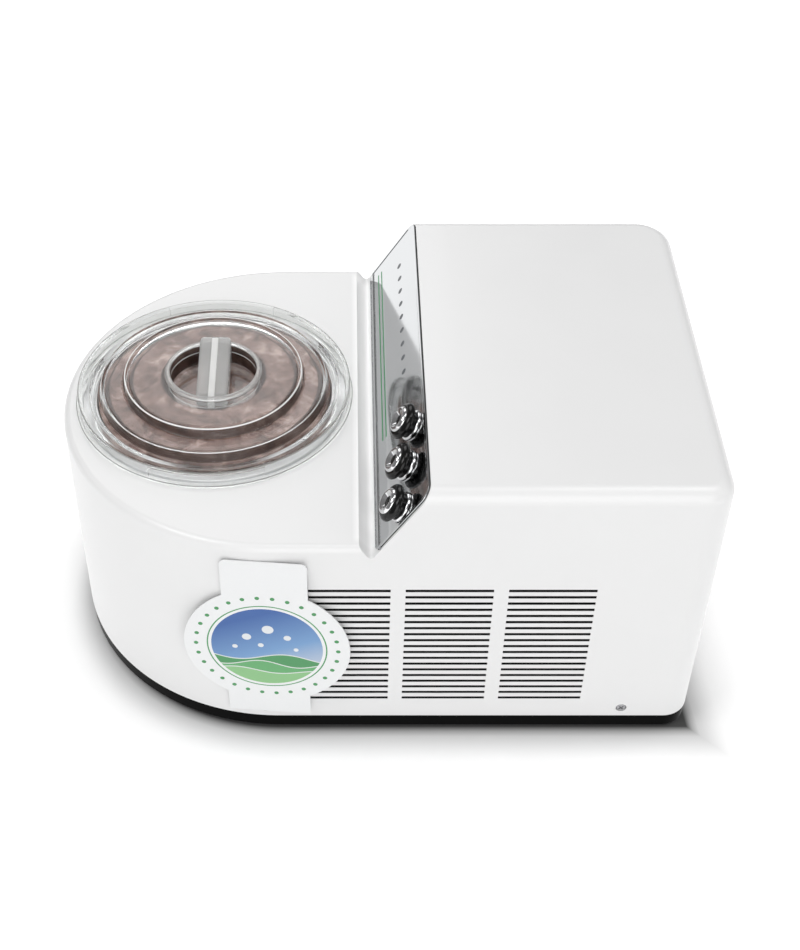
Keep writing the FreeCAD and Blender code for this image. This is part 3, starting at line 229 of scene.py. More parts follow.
def prism(name, outline, along):  # a filled outline, extruded along one way
    piece = drawWire(name, outline, True)
    pickAll()
    bpy.ops.mesh.edge_face_add()
    extrude(along)
    pickAll()
    bpy.ops.mesh.normals_make_consistent(inside=False)
    deselect()
    return piece


def turned(name, profile, at, steps, turn=(0, 0, 0), closed=True, angle=None):
    # profile: (radius, height, round) in millimetres, spun about its own upright axis
    points = [(r * mm, 0, z * mm) for r, z, _ in profile]
    piece = drawWire(name, points, closed)
    for ease in sorted({ease for _, _, ease in profile if ease > 0}):
        spots = [Vector(p) for p, (_, _, e) in zip(points, profile) if e == ease]
        pick(piece, "VERT", lambda v: any((v.co - spot).length < tiny for spot in spots))
        bpy.ops.mesh.bevel(offset=ease * mm, segments=5, affect="VERTICES")
    pickAll()
    bpy.ops.mesh.spin(steps=steps, angle=math.tau, center=(0, 0, 0), axis=(0, 0, 1))
    weld(2 * tiny)
    bpy.ops.mesh.normals_make_consistent(inside=False)
    deselect()
    piece.rotation_euler = turn
    piece.location = at
    settle(piece)
    if angle:
        smooth(piece, angle, weighted=False)
    return piece


def combine(piece, tool, way="DIFFERENCE"):
    modify(piece, "BOOLEAN", operation=way, solver="EXACT", object=tool)
    bpy.data.objects.remove(tool)


def arrayed(piece, count, step):
    spacing = {"use_relative_offset": False, "use_constant_offset": True, "constant_offset_displace": step}
    modify(piece, "ARRAY", count=count, **spacing)


def copied(piece, name):
    twin = piece.copy()
    twin.data = piece.data.copy()
    twin.name = name
    bpy.context.collection.objects.link(twin)
    return twin


def joined(name, pieces):
    deselect()
    for piece in pieces:
        piece.select_set(True)
    bpy.context.view_layer.objects.active = pieces[0]
    bpy.ops.object.join()
    pieces[0].name = name
    return pieces[0]


def dress(piece, bodyName, finish, nodes=()):
    piece.data.materials.clear()
    piece.data.materials.append(finish)
    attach(piece, bodyName)
    if nodes:
        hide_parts(*nodes)


# Shader maths as plain expressions

def operation(way, swapped=False):
    def work(self, other=0.0):
        pair = (other, self) if swapped else (self, other)
        return self.finish.maths(way, *pair)
    return work


class Shade:
    __add__, __radd__ = operation("ADD"), operation("ADD", swapped=True)
    __sub__, __rsub__ = operation("SUBTRACT"), operation("SUBTRACT", swapped=True)
    __mul__, __rmul__ = operation("MULTIPLY"), operation("MULTIPLY", swapped=True)
    __truediv__, __rtruediv__ = operation("DIVIDE"), operation("DIVIDE", swapped=True)
    __pow__, __rpow__ = operation("POWER"), operation("POWER", swapped=True)
    __lt__ = operation("LESS_THAN")
    __gt__ = operation("GREATER_THAN")
    __abs__ = operation("ABSOLUTE")

    def __init__(self, finish, socket):
        self.finish = finish
        self.socket = socket


class Finish:
    def __init__(self, name):
        self.material = bpy.data.materials.new(name)
        self.material.use_nodes = True
        self.tree = self.material.node_tree
        self.tree.nodes.clear()

    def add(self, kind, settings=None, sockets=None, output=0):
        node = self.tree.nodes.new(kind)
        for key, value in (settings or {}).items():
            if key == "stops":
                ramp = node.color_ramp.elements
                while len(ramp) < len(value):
                    ramp.new(0.5)
                for stop, (where, colour) in zip(ramp, value):
                    stop.position = where
                    stop.color = (*colour, 1)
            else:
                setattr(node, key, value)
        for key, value in (sockets or {}).items():
            if isinstance(value, Shade):
                self.tree.links.new(value.socket, node.inputs[key])
            else:
                node.inputs[key].default_value = value
        return Shade(self, node.outputs[output]) if node.outputs else None

    def maths(self, way, first, second=0.0):
        return self.add("ShaderNodeMath", {"operation": way}, {0: first, 1: second})

    def place(self, at=(0, 0, 0), turn=(0, 0, 0), scale=(1, 1, 1)):
        spot = self.add("ShaderNodeTexCoord", output=3)
        sockets = {"Vector": spot, "Location": at, "Rotation": turn, "Scale": scale}
        return self.add("ShaderNodeMapping", {"vector_type": "TEXTURE"}, sockets)

    def split(self, vector):
        node = self.add("ShaderNodeSeparateXYZ", sockets={0: vector}).socket.node
        return [Shade(self, socket) for socket in node.outputs]

    def noise(self, scale, detail=2.0, rough=0.5, at=None, swirl=0.0):
        spot = at or self.place()
        sockets = {"Vector": spot, "Scale": scale, "Detail": detail, "Roughness": rough, "Distortion": swirl}
        return self.add("ShaderNodeTexNoise", None, sockets)

    def ramp(self, value, stops):
        return self.add("ShaderNodeValToRGB", {"stops": stops}, {0: value})

    def mix(self, share, first, second):
        first = first if isinstance(first, Shade) else (*first, 1)
        second = second if isinstance(second, Shade) else (*second, 1)
        sockets = {0: share, 6: first, 7: second}
        return self.add("ShaderNodeMix", {"data_type": "RGBA"}, sockets, output=2)

    def bump(self, height, strength, depth):
        sockets = {"Height": height, "Strength": strength, "Distance": depth}
        return self.add("ShaderNodeBump", sockets=sockets)

    def surface(self, sockets):
        return self.add("ShaderNodeBsdfPrincipled", sockets=sockets)

    def lampsThrough(self, shader, share, tint):  # lets a share of the lamps' light through
        film = self.add("ShaderNodeBsdfTransparent", sockets={"Color": (*tint, 1)})
        shadow = self.add("ShaderNodeLightPath", output=1)
        return self.add("ShaderNodeMixShader", sockets={0: shadow * share, 1: shader, 2: film})

    def done(self, shader):
        self.add("ShaderNodeOutputMaterial", sockets={"Surface": shader})
        return self.material


def span(a, b):  # how far apart two places are, from their distances along two axes
    return (a * a + b * b) ** 0.5


def grey(tone):
    return (tone, tone, tone)


black, white = grey(0), grey(1)


# Finishes, one function each

def mouldedPlastic(name, dark, light, gloss, grain, size=1400, coat=0.0, shine=0.5, tint=None):
    finish = Finish(name)
    cloud = finish.noise(scale=22, detail=3)
    colour = finish.mix(cloud, dark, light)
    return finish.done(finish.surface({
        "Base Color": tint(finish, colour) if tint else colour,
        "Roughness": gloss - 0.04 + cloud * 0.08,
        "Specular IOR Level": shine,
        "Coat Weight": coat,
        "Coat Roughness": 0.06,
        "Normal": finish.bump(finish.noise(scale=size), grain, depth=0.1 * mm),
    }))


shellTone = {  # white of the casing, with painted light that makes it palest in the groove between the deck and the box, where that groove lies in shade
    "dark": grey(0.75),
    "light": grey(0.77),
    # painted light in the shaded groove
    "groove": grey(0.95),
    "left": -18.0 * mm,
    "width": 23.0 * mm,
    "low": 150.0 * mm,
    "height": 20.0 * mm,
    "reach": 146.0 * mm,
    "along": [(0.0, black), (0.22, white), (0.9, white), (1.0, black)],
    "above": [(0.0, black), (1.0, white)],
    "inside": [(0.93, white), (0.98, black)],
    "gloss": 0.30,
    "grain": 0.025,
    "coat": 0.12,
}


# painted light: the casing's white turns paler in the shaded groove and at the foot of the slope above it
def grooveLightPaint(finish, plain):
    x, y, z = finish.split(finish.place())
    along = finish.ramp((x - shellTone["left"]) / shellTone["width"], shellTone["along"])
    above = finish.ramp((z - shellTone["low"]) / shellTone["height"], shellTone["above"])
    inside = finish.ramp(abs(y) / shellTone["reach"], shellTone["inside"])
    return finish.mix(along * above * inside, plain, shellTone["groove"])


def metalSurface(finish, cloud, dark, light, gloss, marks, drift, grain):
    return finish.done(finish.surface({
        "Base Color": finish.mix(cloud, dark, light),
        "Metallic": 1.0,
        "Roughness": gloss - drift / 2 + marks * drift,
        "Normal": finish.bump(marks, grain, depth=0.05 * mm),
    }))


def plainMetal(name, dark, light, gloss, brushed=(1, 1, 1), grain=0.08):
    finish = Finish(name)
    streak = finish.noise(scale=500, detail=3, at=finish.place(scale=brushed))
    return metalSurface(finish, finish.noise(scale=30), dark, light, gloss, streak, drift=0.1, grain=grain)


def turnedMetal(name, dark, light, gloss):  # fine rings round the bowl's axis
    finish = Finish(name)
    rings = finish.add(
        "ShaderNodeTexWave",
        {"wave_type": "RINGS", "rings_direction": "Z", "wave_profile": "SIN"},
        {"Vector": finish.place(at=bowlAxis), "Scale": 420.0, "Distortion": 1.5, "Detail": 2.0},
        output=1,
    )
    return metalSurface(finish, finish.noise(scale=40), dark, light, gloss, rings, drift=0.12, grain=0.12)


clear = {
    "tint": (0.98, 0.985, 0.985),
    "walls": ((30.5, 1.6), (58.7, 2.8), (75.4, 2.4)),  # middle and half width of the upright walls
    "coat": 0.45,
    "rim": 77.6 * mm,
    # grey tint of the rim: painted shade
    "rimTint": (0.905, 0.912, 0.905),
}


def clearPlastic(name):  # clear, glossier on its flats, greyed on the rim as painted shade, and lamps shine through it
    finish = Finish(name)
    scuff = finish.noise(scale=160, detail=4, rough=0.65)
    x, y, _ = finish.split(finish.place(at=bowlAxis))
    reach = span(x, y)
    walls = 0.0
    for radius, half in clear["walls"]:
        walls = walls + (abs(reach - radius * mm) < half * mm)
    rim = reach > clear["rim"]
    shader = finish.surface({
        "Base Color": finish.mix(rim, clear["tint"], clear["rimTint"]),
        "Roughness": scuff * 0.012 + rim * 0.06,
        "IOR": 1.17,
        "Transmission Weight": 1.0,
        "Coat Weight": clear["coat"] - walls * clear["coat"],
        "Coat Roughness": 0.02,
    })
    return finish.done(finish.lampsThrough(shader, 1.0, clear["tint"]))


def frostedPlastic(name, clearness, pale=0.9):  # milky, and half of the lamps' light comes through
    finish = Finish(name)
    cloud = finish.noise(scale=90, detail=3)
    light = (pale, pale, pale - 0.01)
    dark = [tone - 0.1 for tone in light]
    milky = finish.surface({
        "Base Color": finish.mix(cloud, dark, light),
        "Roughness": 0.10 + cloud * 0.10,
        "IOR": 1.3,
        "Transmission Weight": clearness,
        "Coat Weight": 0.4,
        "Coat Roughness": 0.08,
    })
    return finish.done(finish.lampsThrough(milky, 0.5, grey(0.9)))


# What is being churned: its top follows the underside of the lid
ice = {
    "low": 170.0,
    "steps": (33.2, 56.0, 72.2),  # radii where its top steps down under the lid's steps
    "levels": [
        (79.3, 176.0), (76.5, 177.5), (73.6, 178.6), (71.0, 184.9), (57.3, 185.4),
        (54.8, 190.8), (35.2, 191.2), (33.0, 188.5), (32.0, 178.6), (0.0, 178.4),
    ],
    "ringStep": 1.4,
    "lump": 1.1 * mm,
    "lumpScale": 60,
    "lumpStart": 33.5,
    "lumpMargin": 1,
    "lumpDetail": (1.0, 2.1, 4),
    "seed": Vector((3.1, 7.7, 1.3)),
    "broad": 0.62,  # share of the broad patches, beside the finer ones
    "tones": [
        (0.39, (0.038, 0.016, 0.010)),
        (0.46, (0.110, 0.056, 0.042)),
        (0.53, (0.200, 0.120, 0.098)),
        (0.61, (0.420, 0.310, 0.275)),
    ],
    "shade": (0.020, 0.007, 0.004),
    "shadeShare": 0.8,
    "shadeHalf": 2.2 * mm,
    "fleck": (0.05, 0.022, 0.015),
    "fleckShare": 0.3,
}


def chocolateIce():  # mottled, and darker on the steps where less light comes in
    finish = Finish("chocolate_ice")
    spot = finish.place(at=bowlAxis)
    x, y, _ = finish.split(spot)
    reach = span(x, y)
    broad = finish.noise(scale=34, detail=6, rough=0.6, at=spot, swirl=1.6)
    finer = finish.noise(scale=95, detail=5, rough=0.65, at=spot, swirl=0.8)
    fleck = finish.noise(scale=420, detail=3, rough=0.7, at=spot)
    colour = finish.ramp(broad * ice["broad"] + finer * (1 - ice["broad"]), ice["tones"])
    shade = 0.0
    for radius in ice["steps"]:
        shade = shade + (abs(reach - radius * mm) < ice["shadeHalf"])
    colour = finish.mix(shade * ice["shadeShare"], colour, ice["shade"])
    return finish.done(finish.surface({
        "Base Color": finish.mix(fleck * ice["fleckShare"], colour, ice["fleck"]),
        "Roughness": 0.38 + fleck * 0.25,
        "Coat Weight": 0.15,
        "Coat Roughness": 0.2,
        "Normal": finish.bump(fleck, 0.3, depth=0.6 * mm),
    }))


panelPrint = {
    "stripeUp": (17.5 * mm, 21.5 * mm),
    "stripeWidth": 1.4 * mm,
    "stripeStart": -52 * mm,
    "stripeEnd": 132 * mm,
    "stripeTone": (0.03, 0.26, 0.09),
    "dotUp": 44 * mm,
    "dotStart": -8 * mm,
    "dotStep": 15 * mm,
    "dotCount": 9,
    "dotRadius": 2.3 * mm,
    "dotTone": (0.10, 0.11, 0.12),
    "dark": (0.55, 0.56, 0.57),
    "light": (0.62, 0.63, 0.64),
}


def panelSheet():  # polished sheet with a pair of green pinstripes and a row of dots
    finish = Finish("panel_sheet")
    up, side, _ = finish.split(finish.place(at=slopeFoot, turn=slopeTurn))
    streak = finish.noise(scale=260, detail=3, at=finish.place(scale=(1, 40, 1)))
    metal = finish.mix(finish.noise(scale=9), panelPrint["dark"], panelPrint["light"])
    inside = (side > panelPrint["stripeStart"]) * (side < panelPrint["stripeEnd"])
    ink = 0.0
    for middle in panelPrint["stripeUp"]:
        ink = ink + (abs(up - middle) < panelPrint["stripeWidth"] / 2) * inside
    metal = finish.mix(ink, metal, panelPrint["stripeTone"])
    rise = up - panelPrint["dotUp"]
    for index in range(panelPrint["dotCount"]):
        beside = side - (panelPrint["dotStart"] + panelPrint["dotStep"] * index)
        dot = span(beside, rise) < panelPrint["dotRadius"]
        metal = finish.mix(dot, metal, panelPrint["dotTone"])
        ink = ink + dot
    return finish.done(finish.surface({
        "Base Color": metal,
        "Metallic": 1 - ink,
        "Roughness": 0.05 + streak * 0.06 + ink * 0.3,
        "Normal": finish.bump(streak, 0.02, depth=0.05 * mm),
    }))


card = {
    "yaw": math.radians(5),
    "radius": 54.3 * mm,
    "height": 85 * mm,
    "tab": 55 * mm,
    "low": 19 * mm,
    "high": 164 * mm,
    "corner": 4 * mm,
    "thick": 0.8 * mm,
    "offset": 6.5 * mm,
    "stand": 0.6 * mm,
    "endCentre": -66.5 * mm,
}
cardReach = backY + card["stand"]
cardAt = (
    card["endCentre"] - cardReach * math.sin(card["yaw"]),
    -cardReach * math.cos(card["yaw"]),
    0,
)
cardTurn = (0, 0, -card["yaw"])
cardPrint = {
    "dark": (0.77, 0.78, 0.785),
    "light": (0.80, 0.805, 0.81),
    "disc": 36.5 * mm,
    "sky": [
        (0.15, (0.48, 0.54, 0.63)),
        (0.45, (0.15, 0.30, 0.54)),
        (0.85, (0.025, 0.10, 0.33)),
    ],
    "slant": (0.8, 0.35),
    "spots": ((-13, 9, 3.0), (1, 17, 3.8), (13.5, 10, 2.4), (-4, 1.5, 1.9), (19, -1, 1.6), (-21, -1, 1.8)),
    "spotTone": (0.70, 0.72, 0.74),
    "waves": (  # level, height, length, shift and colour
        (-10.0, 3.2, 62, 0.4, (0.050, 0.26, 0.085)),
        (-16.5, 2.6, 48, 2.2, (0.105, 0.36, 0.130)),
        (-23.5, 2.2, 56, 4.0, (0.230, 0.48, 0.210)),
    ),
    "crest": 0.45 * mm,
    "crestTone": (0.66, 0.70, 0.67),
    "ring": 39.0 * mm,
    "ringWidth": 0.9 * mm,
    "beads": 30,
    "beadAt": 46.5 * mm,
    "beadRadius": 1.5 * mm,
    "green": (0.045, 0.26, 0.08),
}


def printedCard():  # white card: blue disc with dots over green waves, ringed by green beads
    finish = Finish("printed_card")
    side, _, tall = finish.split(finish.place(at=cardAt, turn=cardTurn))
    u = side - card["offset"]
    v = tall - card["height"]
    reach = span(u, v)
    paper = finish.noise(scale=900, detail=3)
    plain = finish.mix(paper, cardPrint["dark"], cardPrint["light"])
    upward, sideways = cardPrint["slant"]
    sky = finish.ramp((v * upward - u * sideways) / (cardPrint["disc"] * 2) + 0.5, cardPrint["sky"])
    for x, z, radius in cardPrint["spots"]:
        sky = finish.mix(span(u - x * mm, v - z * mm) < radius * mm, sky, cardPrint["spotTone"])
    for height, swing, length, shift, colour in cardPrint["waves"]:
        swell = finish.maths("SINE", u * (math.tau / (length * mm)) + shift)
        crest = swell * (swing * mm) + height * mm
        sky = finish.mix(v < crest, sky, colour)
        sky = finish.mix(abs(v - crest) < cardPrint["crest"], sky, cardPrint["crestTone"])
    face = finish.mix(reach < cardPrint["disc"], plain, sky)
    ring = abs(reach - cardPrint["ring"]) < cardPrint["ringWidth"] / 2
    beads = cardPrint["beads"]
    turnShare = finish.maths("ARCTAN2", v, u) / math.tau * beads + 0.5
    part = finish.maths("FRACT", turnShare + beads)
    along = (part - 0.5) * (math.tau * cardPrint["beadAt"] / beads)
    bead = span(along, reach - cardPrint["beadAt"]) < cardPrint["beadRadius"]
    return finish.done(finish.surface({
        "Base Color": finish.mix(ring + bead, face, cardPrint["green"]),
        "Roughness": 0.36 + paper * 0.1,
        "Coat Weight": 0.15,
        "Coat Roughness": 0.15,
        "Normal": finish.bump(paper, 0.03, depth=0.1 * mm),
    }))


whiteGloss = mouldedPlastic(
    "white_moulding", shellTone["dark"], shellTone["light"], shellTone["gloss"], shellTone["grain"],
    coat=shellTone["coat"], tint=grooveLightPaint,
)
blackGloss = mouldedPlastic("black_base", grey(0.0015), grey(0.003), 0.35, 0.06, shine=0.015)
buttonBlack = mouldedPlastic("button_black", grey(0.003), grey(0.006), 0.16, 0.03, shine=0.3)
ventBlack = mouldedPlastic("vent_black", grey(0.004), grey(0.008), 0.7, 0.2)
rubberBlack = mouldedPlastic("foot_rubber", grey(0.018), grey(0.035), 0.75, 0.3, size=500)
inletBlack = mouldedPlastic("inlet_black", (0.010, 0.010, 0.011), (0.022, 0.022, 0.023), 0.42, 0.2, 900)
brightChrome = plainMetal("bright_chrome", (0.72, 0.72, 0.73), (0.80, 0.80, 0.81), 0.09, grain=0.02)
screwZinc = plainMetal("screw_zinc", (0.26, 0.26, 0.27), (0.36, 0.36, 0.37), 0.32)
bowlMetal = turnedMetal("bowl_metal", (0.74, 0.74, 0.75), (0.84, 0.84, 0.85), 0.45)
wellMetal = turnedMetal("well_metal", (0.62, 0.63, 0.64), (0.74, 0.75, 0.76), 0.36)
clearLid = clearPlastic("clear_lid")
frosted = frostedPlastic("frosted_ridge", 0.3)
# milky finishes of fine lines that stand as painted highlights on the lid's step edges and on the cup's wall
highlightBead = frostedPlastic("edge_white", 0.12)
# grey finish of fine lines that stand as painted shade on the lid's rim and foot
shadeBead = frostedPlastic("edge_grey", 0.35, pale=0.42)
highlightMilky = frostedPlastic("cloudy_grip", 0.55)
cloudyBar = frostedPlastic("cloudy_bar", 0.68)
cloudyRing = frostedPlastic("cloudy_ring", 0.8)
iceFinish = chocolateIce()
panelFinish = panelSheet()
cardFinish = printedCard()
print("finishes made")


# The white shell

def bodyBlock(name, inset, low, high):  # the body's plan outline between two heights
    half, reach = backY - inset, endX - inset
    block = plainBox(name, (-reach, -half, low), (reach, half, high))
    endSteps, frontSteps, backSteps = body["segments"]
    bevelEdges(block, lambda e: upright(e, -reach), half, endSteps)
    bevelEdges(block, lambda e: upright(e, reach, -half), body["frontCorner"] - inset, frontSteps)
    bevelEdges(block, lambda e: upright(e, reach, half), body["backCorner"] - inset, backSteps)
    return block


def rightAcross(name, outline):  # a prism across the whole body, from its outline in X and Z
    depth = body["depth"]
    return prism(name, [(x, -depth, z) for x, z in outline], (0, depth * 2, 0))


shell = {
    "deckRound": 5 * mm,
    "boxRound": 10 * mm,
    "crest": 1.0 * mm,
    "lip": 5.0 * mm,
    "valley": 4.5 * mm,
    "above": 50 * mm,
    "deckHole": 83.5 * mm,
    "deckCut": (100 * mm, 300 * mm),
    "buttonHole": 8.4 * mm,
    "buttonCut": 30 * mm,
    "ventLeft": -49.0 * mm,
    "ventWidth": 55.5 * mm,
    "ventStep": 64.9 * mm,
    "ventLow": 30.1 * mm,
    "ventPitch": 5.86 * mm,
    "ventSlot": 2.4 * mm,
    "ventRows": 19,
    "ventLip": 0.2 * mm,
    "ventSkin": 0.4 * mm,
    "ventAir": 0.05 * mm,
    "ventMargin": 1.6 * mm,
    "rearVentRight": 115.0 * mm,
    "screwHole": 3.7 * mm,
    "screwSeat": 1.3 * mm,
    "inletFlange": 5 * mm,
    "inletCut": 8 * mm,
}
vents = {  # left edge, columns, wall and the way inwards
    "front": (shell["ventLeft"], 3, frontY, 1),
    "rear": (shell["rearVentRight"] - shell["ventStep"], 2, backY, -1),
}
buttonSeats = {
    "front": (12.11 * mm, -130.5 * mm, 195.31 * mm),
    "middle": (16.13 * mm, -100.0 * mm, 201.64 * mm),
    "rear": (20.15 * mm, -69.5 * mm, 207.97 * mm),
}
screwHeight = 20.5 * mm
screwSpots = []
for screwX in (-75.9 * mm, 165.1 * mm):
    past = max(0.0, card["endCentre"] - screwX)
    reachY = math.sqrt(backY ** 2 - past ** 2)
    screwSpots += [(screwX, -reachY, -1), (screwX, reachY, 1)]
inletLow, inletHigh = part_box("power_inlet")


def inletBox(name, inset, front, back):  # a box in the inlet's outline, from one Y to another
    low = (inletLow.x + inset, front, inletLow.z + inset)
    return plainBox(name, low, (inletHigh.x - inset, back, inletHigh.z - inset))


def ventCutter(name, x, columns, wallY, way):  # one flared slot, repeated in rows and columns
    half = shell["ventSlot"] / 2
    lip = shell["ventLip"]
    low = shell["ventLow"] + half
    section = (
        (-mm, -half - lip), (0, -half - lip), (lip, -half), (body["wall"] + mm, -half),
        (body["wall"] + mm, half), (lip, half), (0, half + lip), (-mm, half + lip),
    )
    outline = [(x, wallY + way * depth, low + rise) for depth, rise in section]
    cutter = prism(name, outline, (shell["ventWidth"], 0, 0))
    arrayed(cutter, shell["ventRows"], (0, 0, shell["ventPitch"]))
    arrayed(cutter, columns, (shell["ventStep"], 0, 0))
    return cutter


def ventPlate(name, x, columns, wallY, way, margin, outer, inner):  # one behind each column of slots
    height = shell["ventPitch"] * (shell["ventRows"] - 1) + shell["ventSlot"]
    depths = sorted((wallY + way * outer, wallY + way * inner))
    low = (x - margin, depths[0], shell["ventLow"] - margin)
    high = (x + shell["ventWidth"] + margin, depths[1], shell["ventLow"] + height + margin)
    plate = plainBox(name, low, high)
    arrayed(plate, columns, (shell["ventStep"], 0, 0))
    return plate


def ventGuard(name, x, columns, wallY, way, node):  # dark slotted plates seen through the slots
    start = shell["ventSkin"] + shell["ventAir"]
    piece = ventPlate(name, x, columns, wallY, way, shell["ventMargin"] - fit, start, body["wall"])
    combine(piece, ventCutter("guardSlots", x, columns, wallY + way * start, way))
    bevelAll(piece, fineEdge, segments=1, angle=60)
    dress(piece, "housing", ventBlack, (node,))


def drillButtons(piece, sides):
    reach = shell["buttonCut"]
    for seat in buttonSeats.values():
        combine(piece, roundRod("buttonCutter", shell["buttonHole"], -reach, reach, seat, sides, slopeTurn))


def casingShell():
    piece = bodyBlock("casing_shell", 0, body["seam"], body["top"])
    deck, top, wall = body["deck"], body["top"], body["wall"]
    start, bottom, crest = body["grooveStart"], body["grooveBottom"], body["slopeTop"]
    valley, beyond, over = body["grooveZ"], -body["length"], top + shell["above"]
    combine(piece, rightAcross("notch", [
        (beyond, deck), (start, deck), (bottom, valley), (crest, top), (crest, over), (beyond, over),
    ]))
    for height, x, along, radius, segments in (  # edges at a height, along a line across or not
        (deck, start, False, shell["deckRound"], 9),
        (top, crest, False, shell["boxRound"], 12),
        (deck, start, True, shell["lip"], 9),
        (top, crest, True, shell["crest"], 4),
        (valley, bottom, True, shell["valley"], 8),
    ):
        bevelEdges(piece, lambda e: level(e, height) and across(e, x) == along, radius, segments)

    hollow = bodyBlock("hollow", wall, body["seam"] - overshoot, top - wall)
    bevelEdges(hollow, lambda e: level(e, top - wall), shell["boxRound"] - wall, segments=8)
    run = wall / math.sin(slopeAngle)
    combine(hollow, rightAcross("kept", [
        (beyond, deck - wall), (start - wall / 2, deck - wall), (bottom, valley - wall * 2),
        (bottom + run, valley), (crest + run, top), (beyond, top),
    ]))
    combine(piece, hollow)

    combine(piece, roundRod("deckCutter", shell["deckHole"], *shell["deckCut"], bowlAxis, sides=160))
    for x, columns, wallY, way in vents.values():
        skin, margin = shell["ventSkin"], shell["ventMargin"]
        combine(piece, ventPlate("pocket", x, columns, wallY, way, margin, skin, wall + mm))
        combine(piece, ventCutter("slots", x, columns, wallY, way))
    drillButtons(piece, sides=48)
    for x, y, way in screwSpots:
        turn = (math.radians(90 * way), 0, 0)
        radius, low, high = shell["screwHole"], -overshoot, shell["screwSeat"]
        combine(piece, roundRod("screwCutter", radius, low, high, (x, y, screwHeight), sides=40, turn=turn))
    deep = backY - shell["inletCut"]
    combine(piece, inletBox("inletCutter", shell["inletFlange"] - fit, deep, backY + overshoot))
    smooth(piece, angle=30)
    dress(piece, "housing", whiteGloss, ("casing",))


casingShell()
for side, vent in vents.items():
    ventGuard(f"{side}_vent_guard", *vent, f"{side}_grilles")
print("shell made")


# The black tray under it, and its feet

tray = {
    "inset": 0.5 * mm,
    "low": 1.2 * mm,
    "floor": 5 * mm,
    "rimInset": 2.8 * mm,
    "rim": 2.5 * mm,
    "rimHeight": 16 * mm,
    "bottomRound": 0.7 * mm,
    "topRound": 0.4 * mm,
}
foot = {
    "profile": [
        (0, 0.4, 0), (4, 0.4, 0.2), (4.6, 0, 0.2), (12.2, 0, 0.5), (13, 0.8, 0.3), (13, 2, 0), (0, 2, 0),
    ],
    "right": 178.5 * mm,
    "side": 112 * mm,
}


def baseTray():
    piece = bodyBlock("base_tray", tray["inset"], tray["low"], body["seam"])
    bevelEdges(piece, lambda e: level(e, tray["low"]), tray["bottomRound"], segments=5)
    bevelEdges(piece, lambda e: level(e, body["seam"]), tray["topRound"], segments=3)
    edit(piece)
    pick(piece, "FACE", lambda f: f.normal.z > flatTop and near(f.calc_center_median().z, body["seam"]))
    margin = tray["rimInset"] - tray["inset"] - tray["topRound"]
    bpy.ops.mesh.inset(thickness=margin, depth=0)
    bpy.ops.mesh.inset(thickness=tray["rim"], depth=0)
    down = tray["floor"] - body["seam"]
    extrude((0, 0, down))
    inner = backY - tray["rimInset"]

    def onRim(face):
        spot = face.calc_center_median()
        flat = face.normal.z > flatTop and near(spot.z, body["seam"])
        outline = max(abs(spot.y), math.hypot(min(0.0, spot.x - card["endCentre"]), spot.y))
        return flat and outline < inner and spot.x < endX - tray["rimInset"]

    pick(piece, "FACE", onRim)
    extrude((0, 0, tray["rimHeight"]))
    deselect()
    smooth(piece, angle=30)
    dress(piece, "housing", blackGloss, ("base_pan",))


def rubberFeet():
    feet = []
    for x in (card["endCentre"], foot["right"]):
        for y in (-foot["side"], foot["side"]):
            feet.append(turned(f"foot{len(feet)}", foot["profile"], (x, y, 0), steps=64))
    piece = joined("rubber_foot_pads", feet)
    smooth(piece, angle=40, weighted=False)
    dress(piece, "housing", rubberBlack, ("rubber_feet",))


baseTray()
rubberFeet()
print("base made")


# Screws in the casing's counterbores

screw = {
    "profile": [
        (0, 0.05, 0), (2.5, 0.1, 0.3), (3.4, 0.6, 0.25), (3.4, 1.3, 0), (1.6, 1.3, 0), (1.6, 9, 0.3),
        (0, 9, 0),
    ],
    "slot": 0.9 * mm,
    "slotLong": 3.9 * mm,
    "slotDeep": 0.8 * mm,
    "spin": 0.5 / mm,  # each is driven home at its own angle
}


def casingScrews():
    model = turned("screwModel", screw["profile"], (0, 0, 0), steps=40, closed=False)
    half, long = screw["slot"] / 2, screw["slotLong"] / 2
    for a, b in ((half, long), (long, half)):
        combine(model, plainBox("driverCutter", (-a, -b, -mm), (a, b, screw["slotDeep"])))
    edit(model)
    weld()
    deselect()
    screws = []
    for x, y, way in screwSpots:
        twin = copied(model, f"screw{len(screws)}")
        twin.rotation_euler = (math.radians(90 * way), screw["spin"] * x, 0)
        twin.location = (x, y, screwHeight)
        settle(twin)
        screws.append(twin)
    bpy.data.objects.remove(model)
    piece = joined("casing_screw_heads", screws)
    smooth(piece, angle=35)
    dress(piece, "housing", screwZinc, ("casing_screws",))


casingScrews()
print("screws made")


# Control panel on the inclined face, and its buttons

panel = {
    "low": 8.5 * mm,
    "high": slopeLength - 0.8 * mm,
    "half": 143.8 * mm,
    "thick": 1.2 * mm,
    "upperCorner": 9 * mm,
    "lowerCorner": 1.5 * mm,
    "rim": 1.8 * mm,
    "step": 0.7 * mm,
    "sunk": 0.45 * mm,
    "edge": 0.18 * mm,
    # how far the black sheet of painted shade reaches past the panel, and its thickness
    "gasket": 0.35 * mm,
}


def slopePlate(name, grow, thick):  # a plate of the panel's outline, still lying flat
    low, high, half = panel["low"] - grow, panel["high"] + grow, panel["half"] + grow
    piece = plainBox(name, (low, -half, 0), (high, half, thick))
    bevelEdges(piece, lambda e: upright(e, high), panel["upperCorner"] + grow, segments=10)
    bevelEdges(piece, lambda e: upright(e, low), panel["lowerCorner"] + grow, segments=4)
    return piece


def ontoSlope(piece):
    piece.rotation_euler = slopeTurn
    piece.location = slopeFoot
    settle(piece)
    drillButtons(piece, sides=64)
    smooth(piece, angle=25)


